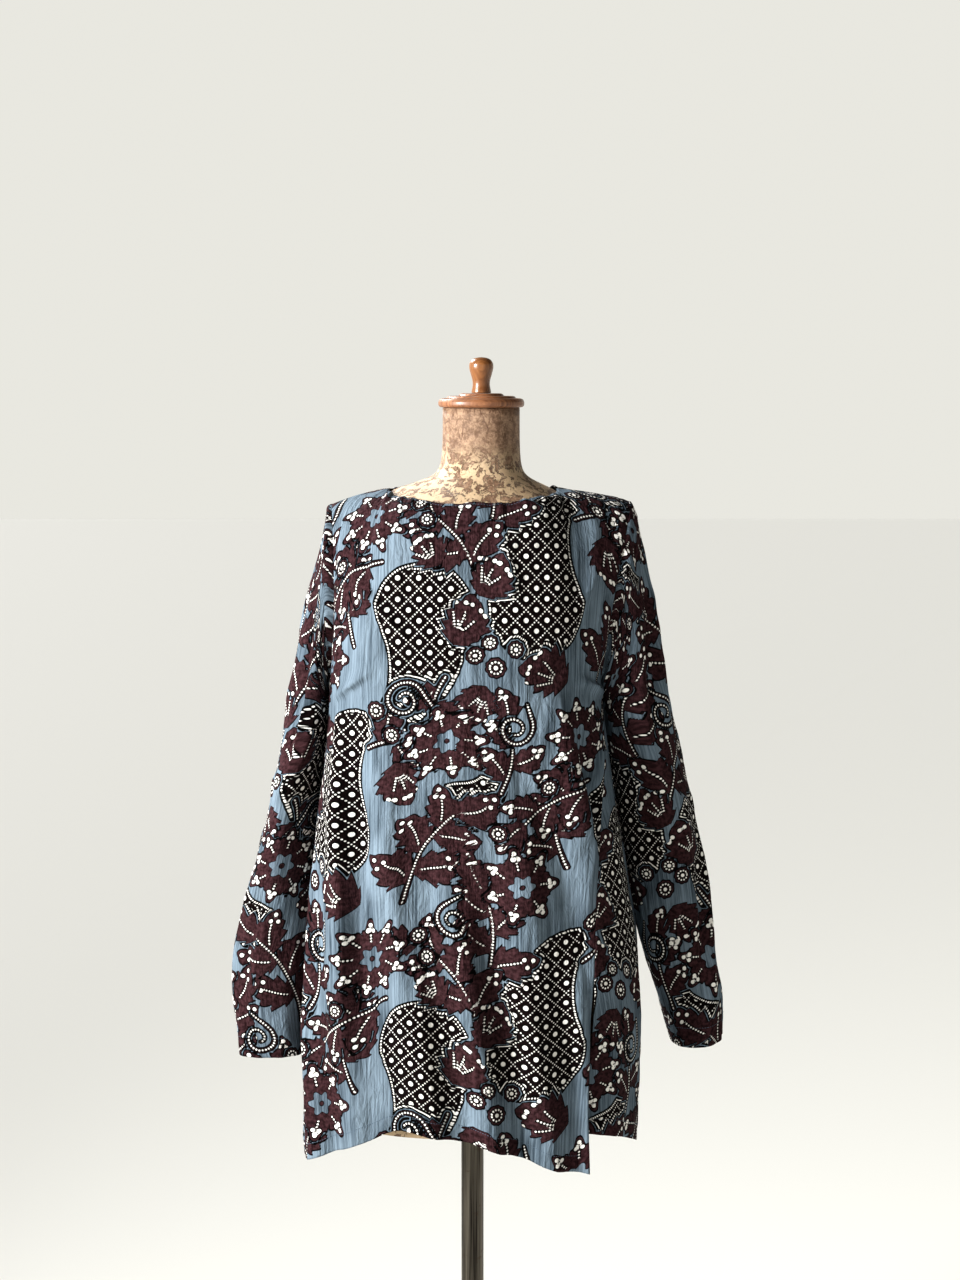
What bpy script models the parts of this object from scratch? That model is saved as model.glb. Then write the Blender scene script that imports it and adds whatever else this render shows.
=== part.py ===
"""A long sleeved pullover blouse with side vents, hanging on a limbless dress form.

Metres, +Z up, the floor at Z 0 and the pole's axis at X 0, Y 0.
The blouse faces -Y, and left and right are the viewer's own.
"""

import math
from collections import namedtuple

import bpy
import numpy as np

# Cloth
WALL = 0.0015
SEAM_GAP = 0.0003
FORM_GAP = 0.0004
YOKE_CLEARANCE = 0.0022
NECK_SINK = 0.0006
YOKE_SLACK = 0.003
YOKE_SLACK_END = 1.3
YOKE_SIDE_INSET = 0.0015

# Blouse sizes
UNDERARM_Z = 1.181
HEM_FALL_END = 0.625
VENT_TOP_Z = 0.87
VENT_SPREAD = 0.003
SPREAD_RADIUS = 0.15
VENT_TUCK = 0.013
VENT_OVERLAP = 8.0
VENT_TUCK_WIDTH = 34.0
BOX_POWER = 2.7
FRONT_COLUMNS = 34
BACK_COLUMNS = 28
BODY_ROWS = 15
VENT_ROW = 6 / 15
YOKE_ROWS = 8
SHOULDER_LIFT = 0.0025

Section = namedtuple("Section", "z left right front back")
Seam = namedtuple("Seam", "z left right")
Hem = namedtuple("Hem", "across front back")
Fold = namedtuple("Fold", "top_place hem_place start_z half_width depth")
Armhole = namedtuple("Armhole", "tip_x tip_z under_x front_reach back_reach inset")
Ring = namedtuple("Ring", "outer_x outer_z inner_x inner_z front back middle turn")
PlacedRing = namedtuple("PlacedRing", ("along",) + Ring._fields)
NeckRing = namedtuple("NeckRing", "z share")
Turning = namedtuple("Turning", "radius z")

# Section of the body at each height: both side edges, the front face and the back face.
BODY = tuple(
    Section(*row) for row in (
        (1.200, -0.155, 0.142, -0.110, 0.098),
        (1.181, -0.157, 0.142, -0.113, 0.100),
        (1.113, -0.161, 0.150, -0.121, 0.101),
        (1.052, -0.168, 0.158, -0.121, 0.099),
        (0.991, -0.173, 0.169, -0.118, 0.099),
        (0.946, -0.177, 0.175, -0.117, 0.101),
        (0.907, -0.180, 0.181, -0.116, 0.103),
        (0.837, -0.185, 0.187, -0.116, 0.106),
        (0.779, -0.190, 0.190, -0.117, 0.108),
        (0.700, -0.191, 0.188, -0.117, 0.109),
        (0.600, -0.191, 0.184, -0.117, 0.109),
    )
)

# Direction of the side seams round the section, in degrees forward of each side.
SEAMS = tuple(
    Seam(*row) for row in (
        (1.181, 0.0, 0.0),
        (1.100, 0.0, 20.0),
        (1.000, -1.0, 40.0),
        (0.900, -3.0, 50.0),
        (0.760, -5.0, 54.0),
        (0.600, -6.0, 51.0),
    )
)

# Height of the hem across each panel, from the left edge (0) to the right edge (1).
HEMS = tuple(
    Hem(*row) for row in (
        (0.00, 0.641, 0.640),
        (0.10, 0.642, 0.634),
        (0.20, 0.648, 0.632),
        (0.30, 0.659, 0.636),
        (0.40, 0.673, 0.640),
        (0.50, 0.687, 0.640),
        (0.60, 0.701, 0.634),
        (0.70, 0.692, 0.640),
        (0.80, 0.672, 0.664),
        (0.90, 0.656, 0.682),
        (1.00, 0.648, 0.694),
    )
)

# Largest soft folds: place round the section at the top and at the hem in degrees
# (270 is the middle of the front), start height, half width in degrees, depth at the hem.
FOLDS = tuple(
    Fold(*row) for row in (
        (216.0, 214.0, 1.15, 12.0, 0.007),
        (232.0, 229.0, 1.05, 11.0, -0.006),
        (252.0, 247.0, 0.98, 13.0, 0.006),
        (286.0, 292.0, 0.92, 13.0, -0.005),
        (313.0, 313.0, 1.12, 12.0, 0.007),
        (338.0, 340.0, 1.05, 11.0, -0.007),
        (20.0, 18.0, 1.08, 13.0, 0.008),
        (48.0, 45.0, 1.00, 12.0, -0.007),
        (75.0, 72.0, 1.05, 14.0, 0.007),
        (104.0, 102.0, 1.00, 12.0, -0.006),
        (133.0, 135.0, 1.08, 13.0, 0.007),
        (160.0, 162.0, 1.02, 11.0, -0.006),
    )
)

# Armholes: shoulder tip and underarm point, forward and backward reach of the edge.
ARMHOLES = {
    "left": Armhole(-0.1535, 1.3765, -0.157, 0.056, 0.060, 0.006),
    "right": Armhole(0.1740, 1.3790, 0.142, 0.056, 0.060, 0.004),
}

# Neck points at the inner ends of the shoulder seams, and the neckline's dip.
NECK_LEFT_X = -0.0905
NECK_RIGHT_X = 0.0925
NECK_POINT_Z = 1.3935
NECK_FRONT = 0.072
NECK_BACK = 0.050
NECK_FRONT_Z = 1.3815
NECK_BACK_Z = 1.3925
SHOULDER_SHARE = 0.19
NECK_POWER = 2.3
YOKE_SOFT_REACH = 0.85

# Sleeves: outer and inner edge of each ring, its reach to front and back, its middle in Y
# and the turn of the flattened tube about its own length in degrees.
SLEEVE_LEFT = tuple(
    Ring(*row) for row in (
        (-0.1590, 1.3740, -0.1600, 1.1800, 0.056, 0.060, 0.000, 0.0),
        (-0.1650, 1.3420, -0.1625, 1.1785, 0.056, 0.060, 0.001, 0.0),
        (-0.1745, 1.2950, -0.1645, 1.1760, 0.056, 0.060, 0.003, 0.0),
        (-0.1850, 1.2440, -0.1665, 1.1700, 0.057, 0.060, 0.006, 0.0),
        (-0.1950, 1.1950, -0.1675, 1.1580, 0.058, 0.060, 0.010, 0.0),
        (-0.2040, 1.1450, -0.1700, 1.1250, 0.058, 0.059, 0.015, -4.0),
        (-0.2160, 1.0900, -0.1715, 1.0760, 0.057, 0.058, 0.022, -8.0),
        (-0.2290, 1.0300, -0.1730, 1.0200, 0.056, 0.056, 0.030, -12.0),
        (-0.2420, 0.9750, -0.1755, 0.9670, 0.054, 0.054, 0.036, -16.0),
        (-0.2560, 0.9150, -0.1785, 0.9080, 0.052, 0.052, 0.041, -18.0),
        (-0.2690, 0.8550, -0.1815, 0.8500, 0.050, 0.050, 0.044, -20.0),
        (-0.2725, 0.8050, -0.1850, 0.8010, 0.048, 0.048, 0.046, -20.0),
        (-0.2695, 0.7470, -0.1870, 0.7440, 0.046, 0.046, 0.047, -20.0),
    )
)
SLEEVE_RIGHT = tuple(
    Ring(*row) for row in (
        (0.1800, 1.3660, 0.1450, 1.1800, 0.056, 0.060, 0.000, 0.0),
        (0.1835, 1.3420, 0.1475, 1.1780, 0.056, 0.060, 0.002, 0.0),
        (0.1910, 1.3060, 0.1500, 1.1750, 0.057, 0.061, 0.004, 0.0),
        (0.2000, 1.2620, 0.1525, 1.1690, 0.058, 0.062, 0.008, 0.0),
        (0.2080, 1.2160, 0.1550, 1.1560, 0.059, 0.062, 0.013, 0.0),
        (0.2190, 1.1620, 0.1570, 1.1250, 0.059, 0.061, 0.019, 4.0),
        (0.2300, 1.1120, 0.1590, 1.0790, 0.058, 0.059, 0.026, 8.0),
        (0.2430, 1.0620, 0.1630, 1.0330, 0.057, 0.057, 0.033, 10.0),
        (0.2550, 1.0000, 0.1700, 0.9800, 0.055, 0.055, 0.040, 12.0),
        (0.2670, 0.9320, 0.1810, 0.9180, 0.053, 0.053, 0.044, 12.0),
        (0.2770, 0.8660, 0.1980, 0.8560, 0.051, 0.051, 0.044, 10.0),
        (0.2875, 0.8100, 0.2150, 0.8040, 0.049, 0.049, 0.040, 7.0),
        (0.2870, 0.7660, 0.2285, 0.7560, 0.047, 0.047, 0.038, 5.0),
    )
)
SLEEVE_COLUMNS = 18
SLEEVE_RINGS = 18
ARMHOLE_LEAN = 0.6
SLEEVE_LOBES = ((3, 0.7, 0.0022), (2, 2.1, 0.0028))

# Torso of the form under the cloth, below the arms.
TORSO = tuple(
    Section(*row) for row in (
        (1.176, -0.1500, 0.1360, -0.107, 0.093),
        (1.130, -0.1490, 0.1390, -0.112, 0.092),
        (1.070, -0.1400, 0.1380, -0.105, 0.085),
        (1.010, -0.1270, 0.1290, -0.092, 0.078),
        (0.960, -0.1280, 0.1320, -0.090, 0.079),
        (0.900, -0.1420, 0.1470, -0.095, 0.086),
        (0.830, -0.1560, 0.1600, -0.099, 0.091),
        (0.760, -0.1620, 0.1640, -0.101, 0.093),
        (0.705, -0.1610, 0.1630, -0.101, 0.093),
        (0.686, -0.1570, 0.1590, -0.098, 0.090),
    )
)
TORSO_POWER = 2.35
TORSO_COLUMNS = 18
TORSO_YOKE_ROWS = 7

# Neck of the form: height at the side and share of the way out from the neck to the neckline.
NECK = tuple(
    NeckRing(*row) for row in (
        (1.3962, 0.86),
        (1.3995, 0.66),
        (1.4035, 0.40),
        (1.4085, 0.17),
        (1.4165, 0.05),
        (1.4360, 0.0),
        (1.4815, 0.0),
    )
)
NECK_RADIUS = 0.0424
NECK_CENTRE_X = 0.010

# Turned pieces: radius and height pairs from the axis up and back to the axis.
CAP = tuple(
    Turning(*row) for row in (
        (0.0, 1.4818), (0.0415, 1.4818), (0.0455, 1.4824), (0.0470, 1.4845), (0.0470, 1.4880),
        (0.0456, 1.4908), (0.0425, 1.4919), (0.0378, 1.4921), (0.0372, 1.4936), (0.0348, 1.4944),
        (0.0246, 1.4946), (0.0240, 1.4962), (0.0218, 1.4972), (0.0, 1.4972),
    )
)
KNOB = tuple(
    Turning(*row) for row in (
        (0.0, 1.4975), (0.0110, 1.4975), (0.0104, 1.5010), (0.0093, 1.5060), (0.0096, 1.5110),
        (0.0116, 1.5180), (0.0133, 1.5240), (0.0132, 1.5295), (0.0108, 1.5335), (0.0062, 1.5358),
        (0.0, 1.5365),
    )
)
FLANGE = tuple(
    Turning(*row) for row in (
        (0.0, 0.6720), (0.0205, 0.6720), (0.0205, 0.6790), (0.0480, 0.6790), (0.0500, 0.6805),
        (0.0500, 0.6857), (0.0, 0.6857),
    )
)
POLE_RADIUS = 0.0127
POLE_TOP = 0.6717
POLE_FOOT = 0.0243
BASE = tuple(
    Turning(*row) for row in (
        (0.0, 0.0), (0.146, 0.0), (0.150, 0.003), (0.150, 0.010), (0.145, 0.014), (0.040, 0.018),
        (0.034, 0.020), (0.032, 0.024), (0.0, 0.024),
    )
)
TURNED_SEGMENTS = 32

MATERIALS = {
    "cotton": ((0.10, 0.19, 0.27), 0.85, 0.0),
    "papier_mache": ((0.52, 0.37, 0.22), 0.75, 0.0),
    "turned_wood": ((0.37, 0.15, 0.07), 0.4, 0.0),
    "light_wood": ((0.50, 0.23, 0.09), 0.35, 0.0),
    "aged_steel": ((0.16, 0.14, 0.12), 0.45, 1.0),
}


def smooth(value):
    """Eased share between 0 and 1."""
    value = min(1.0, max(0.0, value))
    return value * value * (3.0 - 2.0 * value)


def read(table, at):
    """A table's row at a value of its first column, eased between the rows that it has."""
    rows = sorted(table)
    keys = [row[0] for row in rows]
    if at <= keys[0]:
        return rows[0]
    if at >= keys[-1]:
        return rows[-1]
    index = int(np.searchsorted(keys, at)) - 1
    span = keys[index + 1] - keys[index]
    share = (at - keys[index]) / span
    cube, square = share ** 3, share ** 2
    values = []
    for column in range(1, len(rows[0])):
        here, there = rows[index][column], rows[index + 1][column]
        before = rows[max(0, index - 1)]
        after = rows[min(len(rows) - 1, index + 2)]
        slope_in = (there - before[column]) / max(1e-9, keys[index + 1] - before[0]) * span
        slope_out = (after[column] - here) / max(1e-9, after[0] - keys[index]) * span
        values.append(
            (2 * cube - 3 * square + 1) * here
            + (cube - 2 * square + share) * slope_in
            + (3 * square - 2 * cube) * there
            + (cube - square) * slope_out
        )
    return type(rows[0])(at, *values)


def boxed(angle, half_x, half_y, power):
    """Point of a boxed oval at an angle."""
    cosine, sine = math.cos(angle), math.sin(angle)
    x = half_x * math.copysign(abs(cosine) ** (2.0 / power), cosine)
    y = half_y * math.copysign(abs(sine) ** (2.0 / power), sine)
    return x, y


def fold_depth(angle, z):
    """Sum of the soft folds at a place round the body and a height."""
    total = 0.0
    degrees = math.degrees(angle) % 360.0
    for fold in FOLDS:
        fall = smooth((fold.start_z - z) / (fold.start_z - HEM_FALL_END))
        place = fold.top_place + (fold.hem_place - fold.top_place) * fall
        away = (degrees - place + 180.0) % 360.0 - 180.0
        total += fold.depth * fall * math.exp(-((away / fold.half_width) ** 2))
    return total


def vent_share(z):
    """How far a height lies down the side vents, from their top (0) to the hem (1)."""
    return min(1.0, max(0.0, (VENT_TOP_Z - z) / (VENT_TOP_Z - HEM_FALL_END)))


def body_point(angle, z, face):
    """Point of the hanging cloth's outer face round the body, below the arms."""
    section = read(BODY, z)
    half_x, middle_x = (section.right - section.left) / 2.0, (section.right + section.left) / 2.0
    depth = -section.front if math.sin(angle) < 0 else section.back
    x, y = boxed(angle, half_x, depth, BOX_POWER)
    reach = math.hypot(x, y)
    out = fold_depth(angle, z)
    if face == "back":
        edge = math.degrees(seam_angles(z, "back")[1])
        near = smooth(1.0 - (math.degrees(angle) - edge) / VENT_TUCK_WIDTH)
        out -= VENT_TUCK * smooth(vent_share(z) * 1.6) * near
    scale = 1.0 + out / reach
    return np.array((middle_x + x * scale, y * scale, z))


def body_normal(angle, z, face):
    """Direction out of the hanging cloth."""
    step = math.radians(1.5)
    along = body_point(angle + step, z, face) - body_point(angle - step, z, face)
    down = body_point(angle, z - 0.004, face) - body_point(angle, z + 0.004, face)
    normal = np.cross(down, along)
    return normal / np.linalg.norm(normal)


def seam_angles(z, face):
    """Start and end of a panel round the body at a height, left edge first."""
    seam = read(SEAMS, z)
    share = vent_share(z)
    spread = (SEAM_GAP / 2 + VENT_SPREAD * min(1.0, share * 5.0)) / SPREAD_RADIUS
    if face == "front":
        return math.radians(180.0 + seam.left) + spread, math.radians(360.0 - seam.right) - spread
    lapped = VENT_OVERLAP * smooth((share - 0.35) / 0.65)
    return math.radians(180.0 + seam.left) - spread, math.radians(-seam.right - lapped) + spread


def armhole_point(side, face, share):
    """Point of an armhole's edge, from the underarm (0) to the shoulder tip (1)."""
    hole = ARMHOLES[side]
    turn = math.pi * (1.0 - share)
    reach = -hole.front_reach if face == "front" else hole.back_reach
    middle, half = (hole.tip_z + UNDERARM_Z) / 2.0, (hole.tip_z - UNDERARM_Z) / 2.0
    z = middle + half * math.cos(turn)
    x = hole.under_x + (hole.tip_x - hole.under_x) * (z - UNDERARM_Z) / (2.0 * half)
    inward = hole.inset if side == "left" else -hole.inset
    return np.array((x + inward * math.sin(turn) ** 2, reach * math.sin(turn), z))


def top_edge(face, across):
    """Point of a panel's top edge: a shoulder, the neckline, then the other shoulder."""
    for side, start, neck_x in (("left", 0.0, NECK_LEFT_X), ("right", 1.0, NECK_RIGHT_X)):
        away = abs(across - start)
        if away > SHOULDER_SHARE:
            continue
        share = away / SHOULDER_SHARE
        hole = ARMHOLES[side]
        lift = SHOULDER_LIFT * math.sin(math.pi * share)
        return np.array((hole.tip_x + (neck_x - hole.tip_x) * share, 0.0,
                         hole.tip_z + (NECK_POINT_Z - hole.tip_z) * share + lift))
    share = (across - SHOULDER_SHARE) / (1.0 - 2.0 * SHOULDER_SHARE)
    turn = math.pi * share
    x, y = boxed(turn, 1.0, 1.0, NECK_POWER)
    middle, half = (NECK_LEFT_X + NECK_RIGHT_X) / 2.0, (NECK_RIGHT_X - NECK_LEFT_X) / 2.0
    reach, low = (-NECK_FRONT, NECK_FRONT_Z) if face == "front" else (NECK_BACK, NECK_BACK_Z)
    return np.array((middle - half * x, reach * y, NECK_POINT_Z + (low - NECK_POINT_Z) * abs(y)))


def yoke_point(face, across, share):
    """Point of a panel above the underarm level, from that level (0) to the top edge (1)."""
    start, end = seam_angles(UNDERARM_Z, face)
    angle = start + (end - start) * across
    low = body_point(angle, UNDERARM_Z, face)
    high = top_edge(face, across)
    neck_reach = -NECK_FRONT if face == "front" else NECK_BACK
    soft = neck_reach * YOKE_SOFT_REACH * math.sin(math.pi * across) ** 1.3
    high[1] = soft + (high[1] - soft) * share ** 3
    rise = math.sin(share * math.pi / 2.0)
    draw = 1.0 - math.cos(share * math.pi / 2.0)
    flat = np.array((low[0] + (high[0] - low[0]) * share,
                     low[1] + (high[1] - low[1]) * draw,
                     low[2] + (high[2] - low[2]) * rise))
    edges = ((("left", 0.0), (1.0 - across) ** 4), (("right", 1.0), across ** 4))
    for (side, edge_across), weight in edges:
        edge_low = body_point(start if side == "left" else end, UNDERARM_Z, face)
        edge_high = top_edge(face, edge_across)
        ruled = np.array((edge_low[0] + (edge_high[0] - edge_low[0]) * share,
                          edge_low[1] + (edge_high[1] - edge_low[1]) * draw,
                          edge_low[2] + (edge_high[2] - edge_low[2]) * rise))
        flat = flat + weight * (armhole_point(side, face, share) - ruled)
    return flat


def row_height(face, across, row):
    """Height of a row of a panel: even steps from the hem to the vent's top, then to the underarm."""
    hems = read(HEMS, across)
    hem = hems.front if face == "front" else hems.back
    if row <= VENT_ROW:
        return hem + (VENT_TOP_Z - hem) * row / VENT_ROW
    return VENT_TOP_Z + (UNDERARM_Z - VENT_TOP_Z) * (row - VENT_ROW) / (1.0 - VENT_ROW)


def panel_point(face, across, row):
    """Point of a panel's outer face: row 0 is the hem, 1 the underarm level, 2 the top edge."""
    if row > 1.0:
        return yoke_point(face, across, row - 1.0)
    z = row_height(face, across, row)
    start, end = seam_angles(z, face)
    return body_point(start + (end - start) * across, z, face)


def panel_normal(face, across, row):
    """Direction out of a panel."""
    if row <= 1.0:
        z = row_height(face, across, row)
        start, end = seam_angles(z, face)
        return body_normal(start + (end - start) * across, z, face)
    step = 0.012
    low_across, high_across = max(0.0, across - step), min(1.0, across + step)
    low_row, high_row = max(1.0, row - step), min(2.0, row + step)
    along = panel_point(face, high_across, row) - panel_point(face, low_across, row)
    up = panel_point(face, across, high_row) - panel_point(face, across, low_row)
    normal = np.cross(along, up) if face == "front" else np.cross(up, along)
    shoulder = row >= 2.0 and min(across, 1.0 - across) <= SHOULDER_SHARE + 1e-6
    if shoulder:
        normal = np.array((0.0, 0.0, 1.0))
    blend = smooth((row - 1.0) * 4.0)
    start, end = seam_angles(UNDERARM_Z, face)
    low = body_normal(start + (end - start) * across, UNDERARM_Z, face)
    normal = low * (1.0 - blend) + normal / np.linalg.norm(normal) * blend
    edge = min(across, 1.0 - across) < 1e-6
    if edge and (normal[0] < 0) != (across < 0.5):
        normal[0] = 0.0
    return normal / np.linalg.norm(normal)


def solid_from_grid(outer, inner, wrap):
    """Points and faces of a wall between two grids, closed round every free edge."""
    rows, columns = len(outer), len(outer[0])
    points = [point for grid in (outer, inner) for line in grid for point in line]
    half = rows * columns
    faces = []

    def at(grid, row, column):
        return grid * half + row * columns + column % columns

    last = columns if wrap else columns - 1
    for row in range(rows - 1):
        for column in range(last):
            here = (at(0, row, column), at(0, row, column + 1),
                    at(0, row + 1, column + 1), at(0, row + 1, column))
            faces.append(here)
            faces.append(tuple(half + index for index in reversed(here)))
    for column in range(last):
        after = column + 1
        faces.append((at(1, 0, column), at(1, 0, after), at(0, 0, after), at(0, 0, column)))
        faces.append((at(0, rows - 1, column), at(0, rows - 1, after),
                      at(1, rows - 1, after), at(1, rows - 1, column)))
    if not wrap:
        for row in range(rows - 1):
            after = row + 1
            faces.append((at(0, row, 0), at(0, after, 0), at(1, after, 0), at(1, row, 0)))
            faces.append((at(1, row, last), at(1, after, last),
                          at(0, after, last), at(0, row, last)))
    return points, faces


def add_mesh(name, points, faces, material):
    """Object from points and faces, with shared points joined, faces out and smooth shading."""
    keys, kept, index = {}, [], []
    for point in points:
        key = tuple(int(round(value * 1e7)) for value in point)
        if key not in keys:
            keys[key] = len(kept)
            kept.append(tuple(float(value) for value in point))
        index.append(keys[key])
    clean = []
    for face in faces:
        corners = []
        for corner in face:
            if index[corner] not in corners:
                corners.append(index[corner])
        if len(corners) > 2:
            clean.append(corners)
    mesh = bpy.data.meshes.new(name)
    mesh.from_pydata(kept, [], clean)
    mesh.materials.append(material)
    volume = 0.0
    mesh.calc_loop_triangles()
    for triangle in mesh.loop_triangles:
        first, second, third = (np.array(mesh.vertices[corner].co) for corner in triangle.vertices)
        volume += float(np.dot(first, np.cross(second, third)))
    if volume < 0:
        mesh.flip_normals()
    mesh.shade_smooth()
    obj = bpy.data.objects.new(name, mesh)
    bpy.context.scene.collection.objects.link(obj)
    return obj


def build_panel(face, columns, material):
    """The front or the back panel of the blouse."""
    rows = [index / BODY_ROWS for index in range(BODY_ROWS)]
    rows += [1.0 + index / YOKE_ROWS for index in range(YOKE_ROWS + 1)]
    places = panel_places(columns)
    outer, inner = [], []
    for row in rows:
        outer_line, inner_line = [], []
        for across in places:
            point = panel_point(face, across, row)
            if row >= 2.0 and min(across, 1.0 - across) <= SHOULDER_SHARE + 1e-6:
                point[1] += -SEAM_GAP / 2 if face == "front" else SEAM_GAP / 2
            normal = panel_normal(face, across, row)
            outer_line.append(point)
            inner_line.append(point - normal * WALL)
        outer.append(outer_line)
        inner.append(inner_line)
    points, faces = solid_from_grid(outer, inner, wrap=False)
    return add_mesh(face, points, faces, material)


def panel_places(columns):
    """Shares across a panel, with a place on each neck point."""
    side = max(2, round(columns * SHOULDER_SHARE))
    middle = columns - 2 * side
    places = [SHOULDER_SHARE * index / side for index in range(side)]
    span = 1.0 - 2.0 * SHOULDER_SHARE
    places += [SHOULDER_SHARE + span * index / middle for index in range(middle)]
    places += [1.0 - SHOULDER_SHARE + SHOULDER_SHARE * index / side for index in range(side + 1)]
    return places


def sleeve_ring(side, along, turn):
    """Point of a sleeve's outer face, from the armhole (0) to the sleeve's hem (1)."""
    rows = SLEEVE_LEFT if side == "left" else SLEEVE_RIGHT
    table = [PlacedRing(index / (len(rows) - 1.0), *row) for index, row in enumerate(rows)]
    ring = read(table, along)
    outer = np.array((ring.outer_x, ring.middle, ring.outer_z))
    inner = np.array((ring.inner_x, ring.middle, ring.inner_z))
    centre, half = (outer + inner) / 2.0, (outer - inner) / 2.0
    reach = -ring.front if math.sin(turn) > 0 else -ring.back
    lobes = sum(size * math.cos(count * turn + start + 2.5 * along)
                for count, start, size in SLEEVE_LOBES)
    swell = 1.0 + smooth((along - 0.2) / 0.4) * lobes / 0.05
    cosine, sine = math.cos(turn), math.sin(turn)
    flat = math.copysign(abs(sine) ** 0.9, sine)
    twist_angle = math.radians(ring.turn)
    out = half * cosine + np.array((0.0, reach * flat, 0.0)) * swell
    x = out[0] * math.cos(twist_angle) - out[1] * math.sin(twist_angle)
    y = out[0] * math.sin(twist_angle) + out[1] * math.cos(twist_angle)
    return centre + np.array((x, y, out[2]))


def sleeve_grid(side, rings, columns):
    """Outer and inner points of a sleeve, the first ring set against the armhole."""
    outward = -1.0 if side == "left" else 1.0
    outer, inner = [], []
    first_outer, first_inner = [], []
    for column in range(columns):
        turn = 2.0 * math.pi * column / columns
        share = 1.0 - turn / math.pi if turn <= math.pi else turn / math.pi - 1.0
        edge = armhole_point(side, "front" if turn <= math.pi else "back", share)
        inward = ARMHOLES[side].inset * math.sin(turn) ** 2
        edge[0] += outward * (SEAM_GAP + inward)
        radial = np.array((0.0, -math.sin(turn), ARMHOLE_LEAN * math.cos(turn)))
        radial /= np.linalg.norm(radial)
        first_outer.append(edge)
        first_inner.append(edge - radial * WALL)
    outer.append(first_outer)
    inner.append(first_inner)
    for ring in range(rings + 1):
        along = ring / rings
        outer_line, inner_line = [], []
        for column in range(columns):
            turn = 2.0 * math.pi * column / columns
            point = sleeve_ring(side, along, turn)
            step, rise = math.radians(2.0), 0.01
            round_way = sleeve_ring(side, along, turn + step) - sleeve_ring(side, along, turn - step)
            down = sleeve_ring(side, min(1.0, along + rise), turn)
            down = down - sleeve_ring(side, max(0.0, along - rise), turn)
            normal = np.cross(round_way, down) * outward
            normal /= np.linalg.norm(normal)
            outer_line.append(point)
            inner_line.append(point - normal * WALL)
        outer.append(outer_line)
        inner.append(inner_line)
    return outer, inner


def build_sleeve(side, material):
    """One set-in sleeve, an open tube."""
    outer, inner = sleeve_grid(side, SLEEVE_RINGS, SLEEVE_COLUMNS)
    points, faces = solid_from_grid(outer, inner, wrap=True)
    return add_mesh("sleeve_" + side, points, faces, material)


def torso_ring(sizes):
    """One closed ring of the torso below the arms, front first."""
    middle, half = (sizes.left + sizes.right) / 2.0, (sizes.right - sizes.left) / 2.0
    ring = []
    for face in ("front", "back"):
        places = panel_places(TORSO_COLUMNS)
        for across in places if face == "front" else reversed(places):
            angle = math.pi + math.pi * across if face == "front" else math.pi - math.pi * across
            x, y = boxed(angle, half, -sizes.front if face == "front" else sizes.back, TORSO_POWER)
            ring.append(np.array((middle + x, y, sizes.z)))
    return ring


def torso_yoke_ring(share):
    """One ring of the torso above the underarm level, seated under the cloth."""
    ring = []
    for face in ("front", "back"):
        places = panel_places(TORSO_COLUMNS)
        for across in places if face == "front" else reversed(places):
            row = 1.0 + share
            point = panel_point(face, across, row)
            normal = panel_normal(face, across, row)
            deep = WALL + FORM_GAP + YOKE_CLEARANCE * (1.0 - share ** 6)
            deep += YOKE_SLACK * (1.0 - smooth(share * YOKE_SLACK_END))
            point = point - normal * deep
            if share >= 1.0 and min(across, 1.0 - across) > SHOULDER_SHARE + 1e-6:
                point[2] -= NECK_SINK
            if min(across, 1.0 - across) < 1e-6:
                point[0] += YOKE_SIDE_INSET if across < 0.5 else -YOKE_SIDE_INSET
            ring.append(point)
    return ring


def neck_ring(sizes, rim):
    """One ring of the form's neck, between the neckline's outline and a circle."""
    ring = []
    for point in rim:
        away = np.array((point[0] - NECK_CENTRE_X, point[1]))
        direction = away / np.linalg.norm(away)
        flat = direction * NECK_RADIUS * (1.0 - sizes.share) + away * sizes.share
        drop = (NECK_POINT_Z - point[2]) * sizes.share
        ring.append(np.array((NECK_CENTRE_X + flat[0], flat[1], sizes.z - drop)))
    return ring


def build_torso(material):
    """The limbless torso with its neck, one closed body."""
    rings = [torso_ring(sizes) for sizes in reversed(TORSO)]
    rings += [torso_yoke_ring(index / TORSO_YOKE_ROWS) for index in range(TORSO_YOKE_ROWS + 1)]
    columns = len(rings[0])
    points = [point for ring in rings for point in ring]
    faces = []
    for row in range(len(rings) - 1):
        for column in range(columns):
            after = (column + 1) % columns
            faces.append((row * columns + column, row * columns + after,
                          (row + 1) * columns + after, (row + 1) * columns + column))
    side = max(2, round(TORSO_COLUMNS * SHOULDER_SHARE))
    half = columns // 2
    top = (len(rings) - 1) * columns
    front = list(range(top + side, top + half - side))
    back = list(range(top + half + side, top + columns - side))
    rim = front + back[1:-1]
    rim_points = [points[index] for index in rim]
    previous = rim
    for sizes in NECK:
        start = len(points)
        points += neck_ring(sizes, rim_points)
        ring = list(range(start, start + len(rim)))
        for column in range(len(rim)):
            after = (column + 1) % len(rim)
            faces.append((previous[column], previous[after], ring[after], ring[column]))
        previous = ring
    faces.append(tuple(previous))
    faces.append(tuple(reversed(range(columns))))
    return add_mesh("torso", points, faces, material)


def build_turned(name, profile, centre, material):
    """A turned piece about an upright axis, its profile on the axis at both ends."""
    points, faces = [], []
    for radius, z in profile:
        for segment in range(TURNED_SEGMENTS):
            turn = 2.0 * math.pi * segment / TURNED_SEGMENTS
            points.append((centre + radius * math.cos(turn), radius * math.sin(turn), z))
    for row in range(len(profile) - 1):
        for segment in range(TURNED_SEGMENTS):
            after = (segment + 1) % TURNED_SEGMENTS
            low, high = row * TURNED_SEGMENTS, (row + 1) * TURNED_SEGMENTS
            faces.append((low + segment, low + after, high + after, high + segment))
    return add_mesh(name, points, faces, material)


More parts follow.
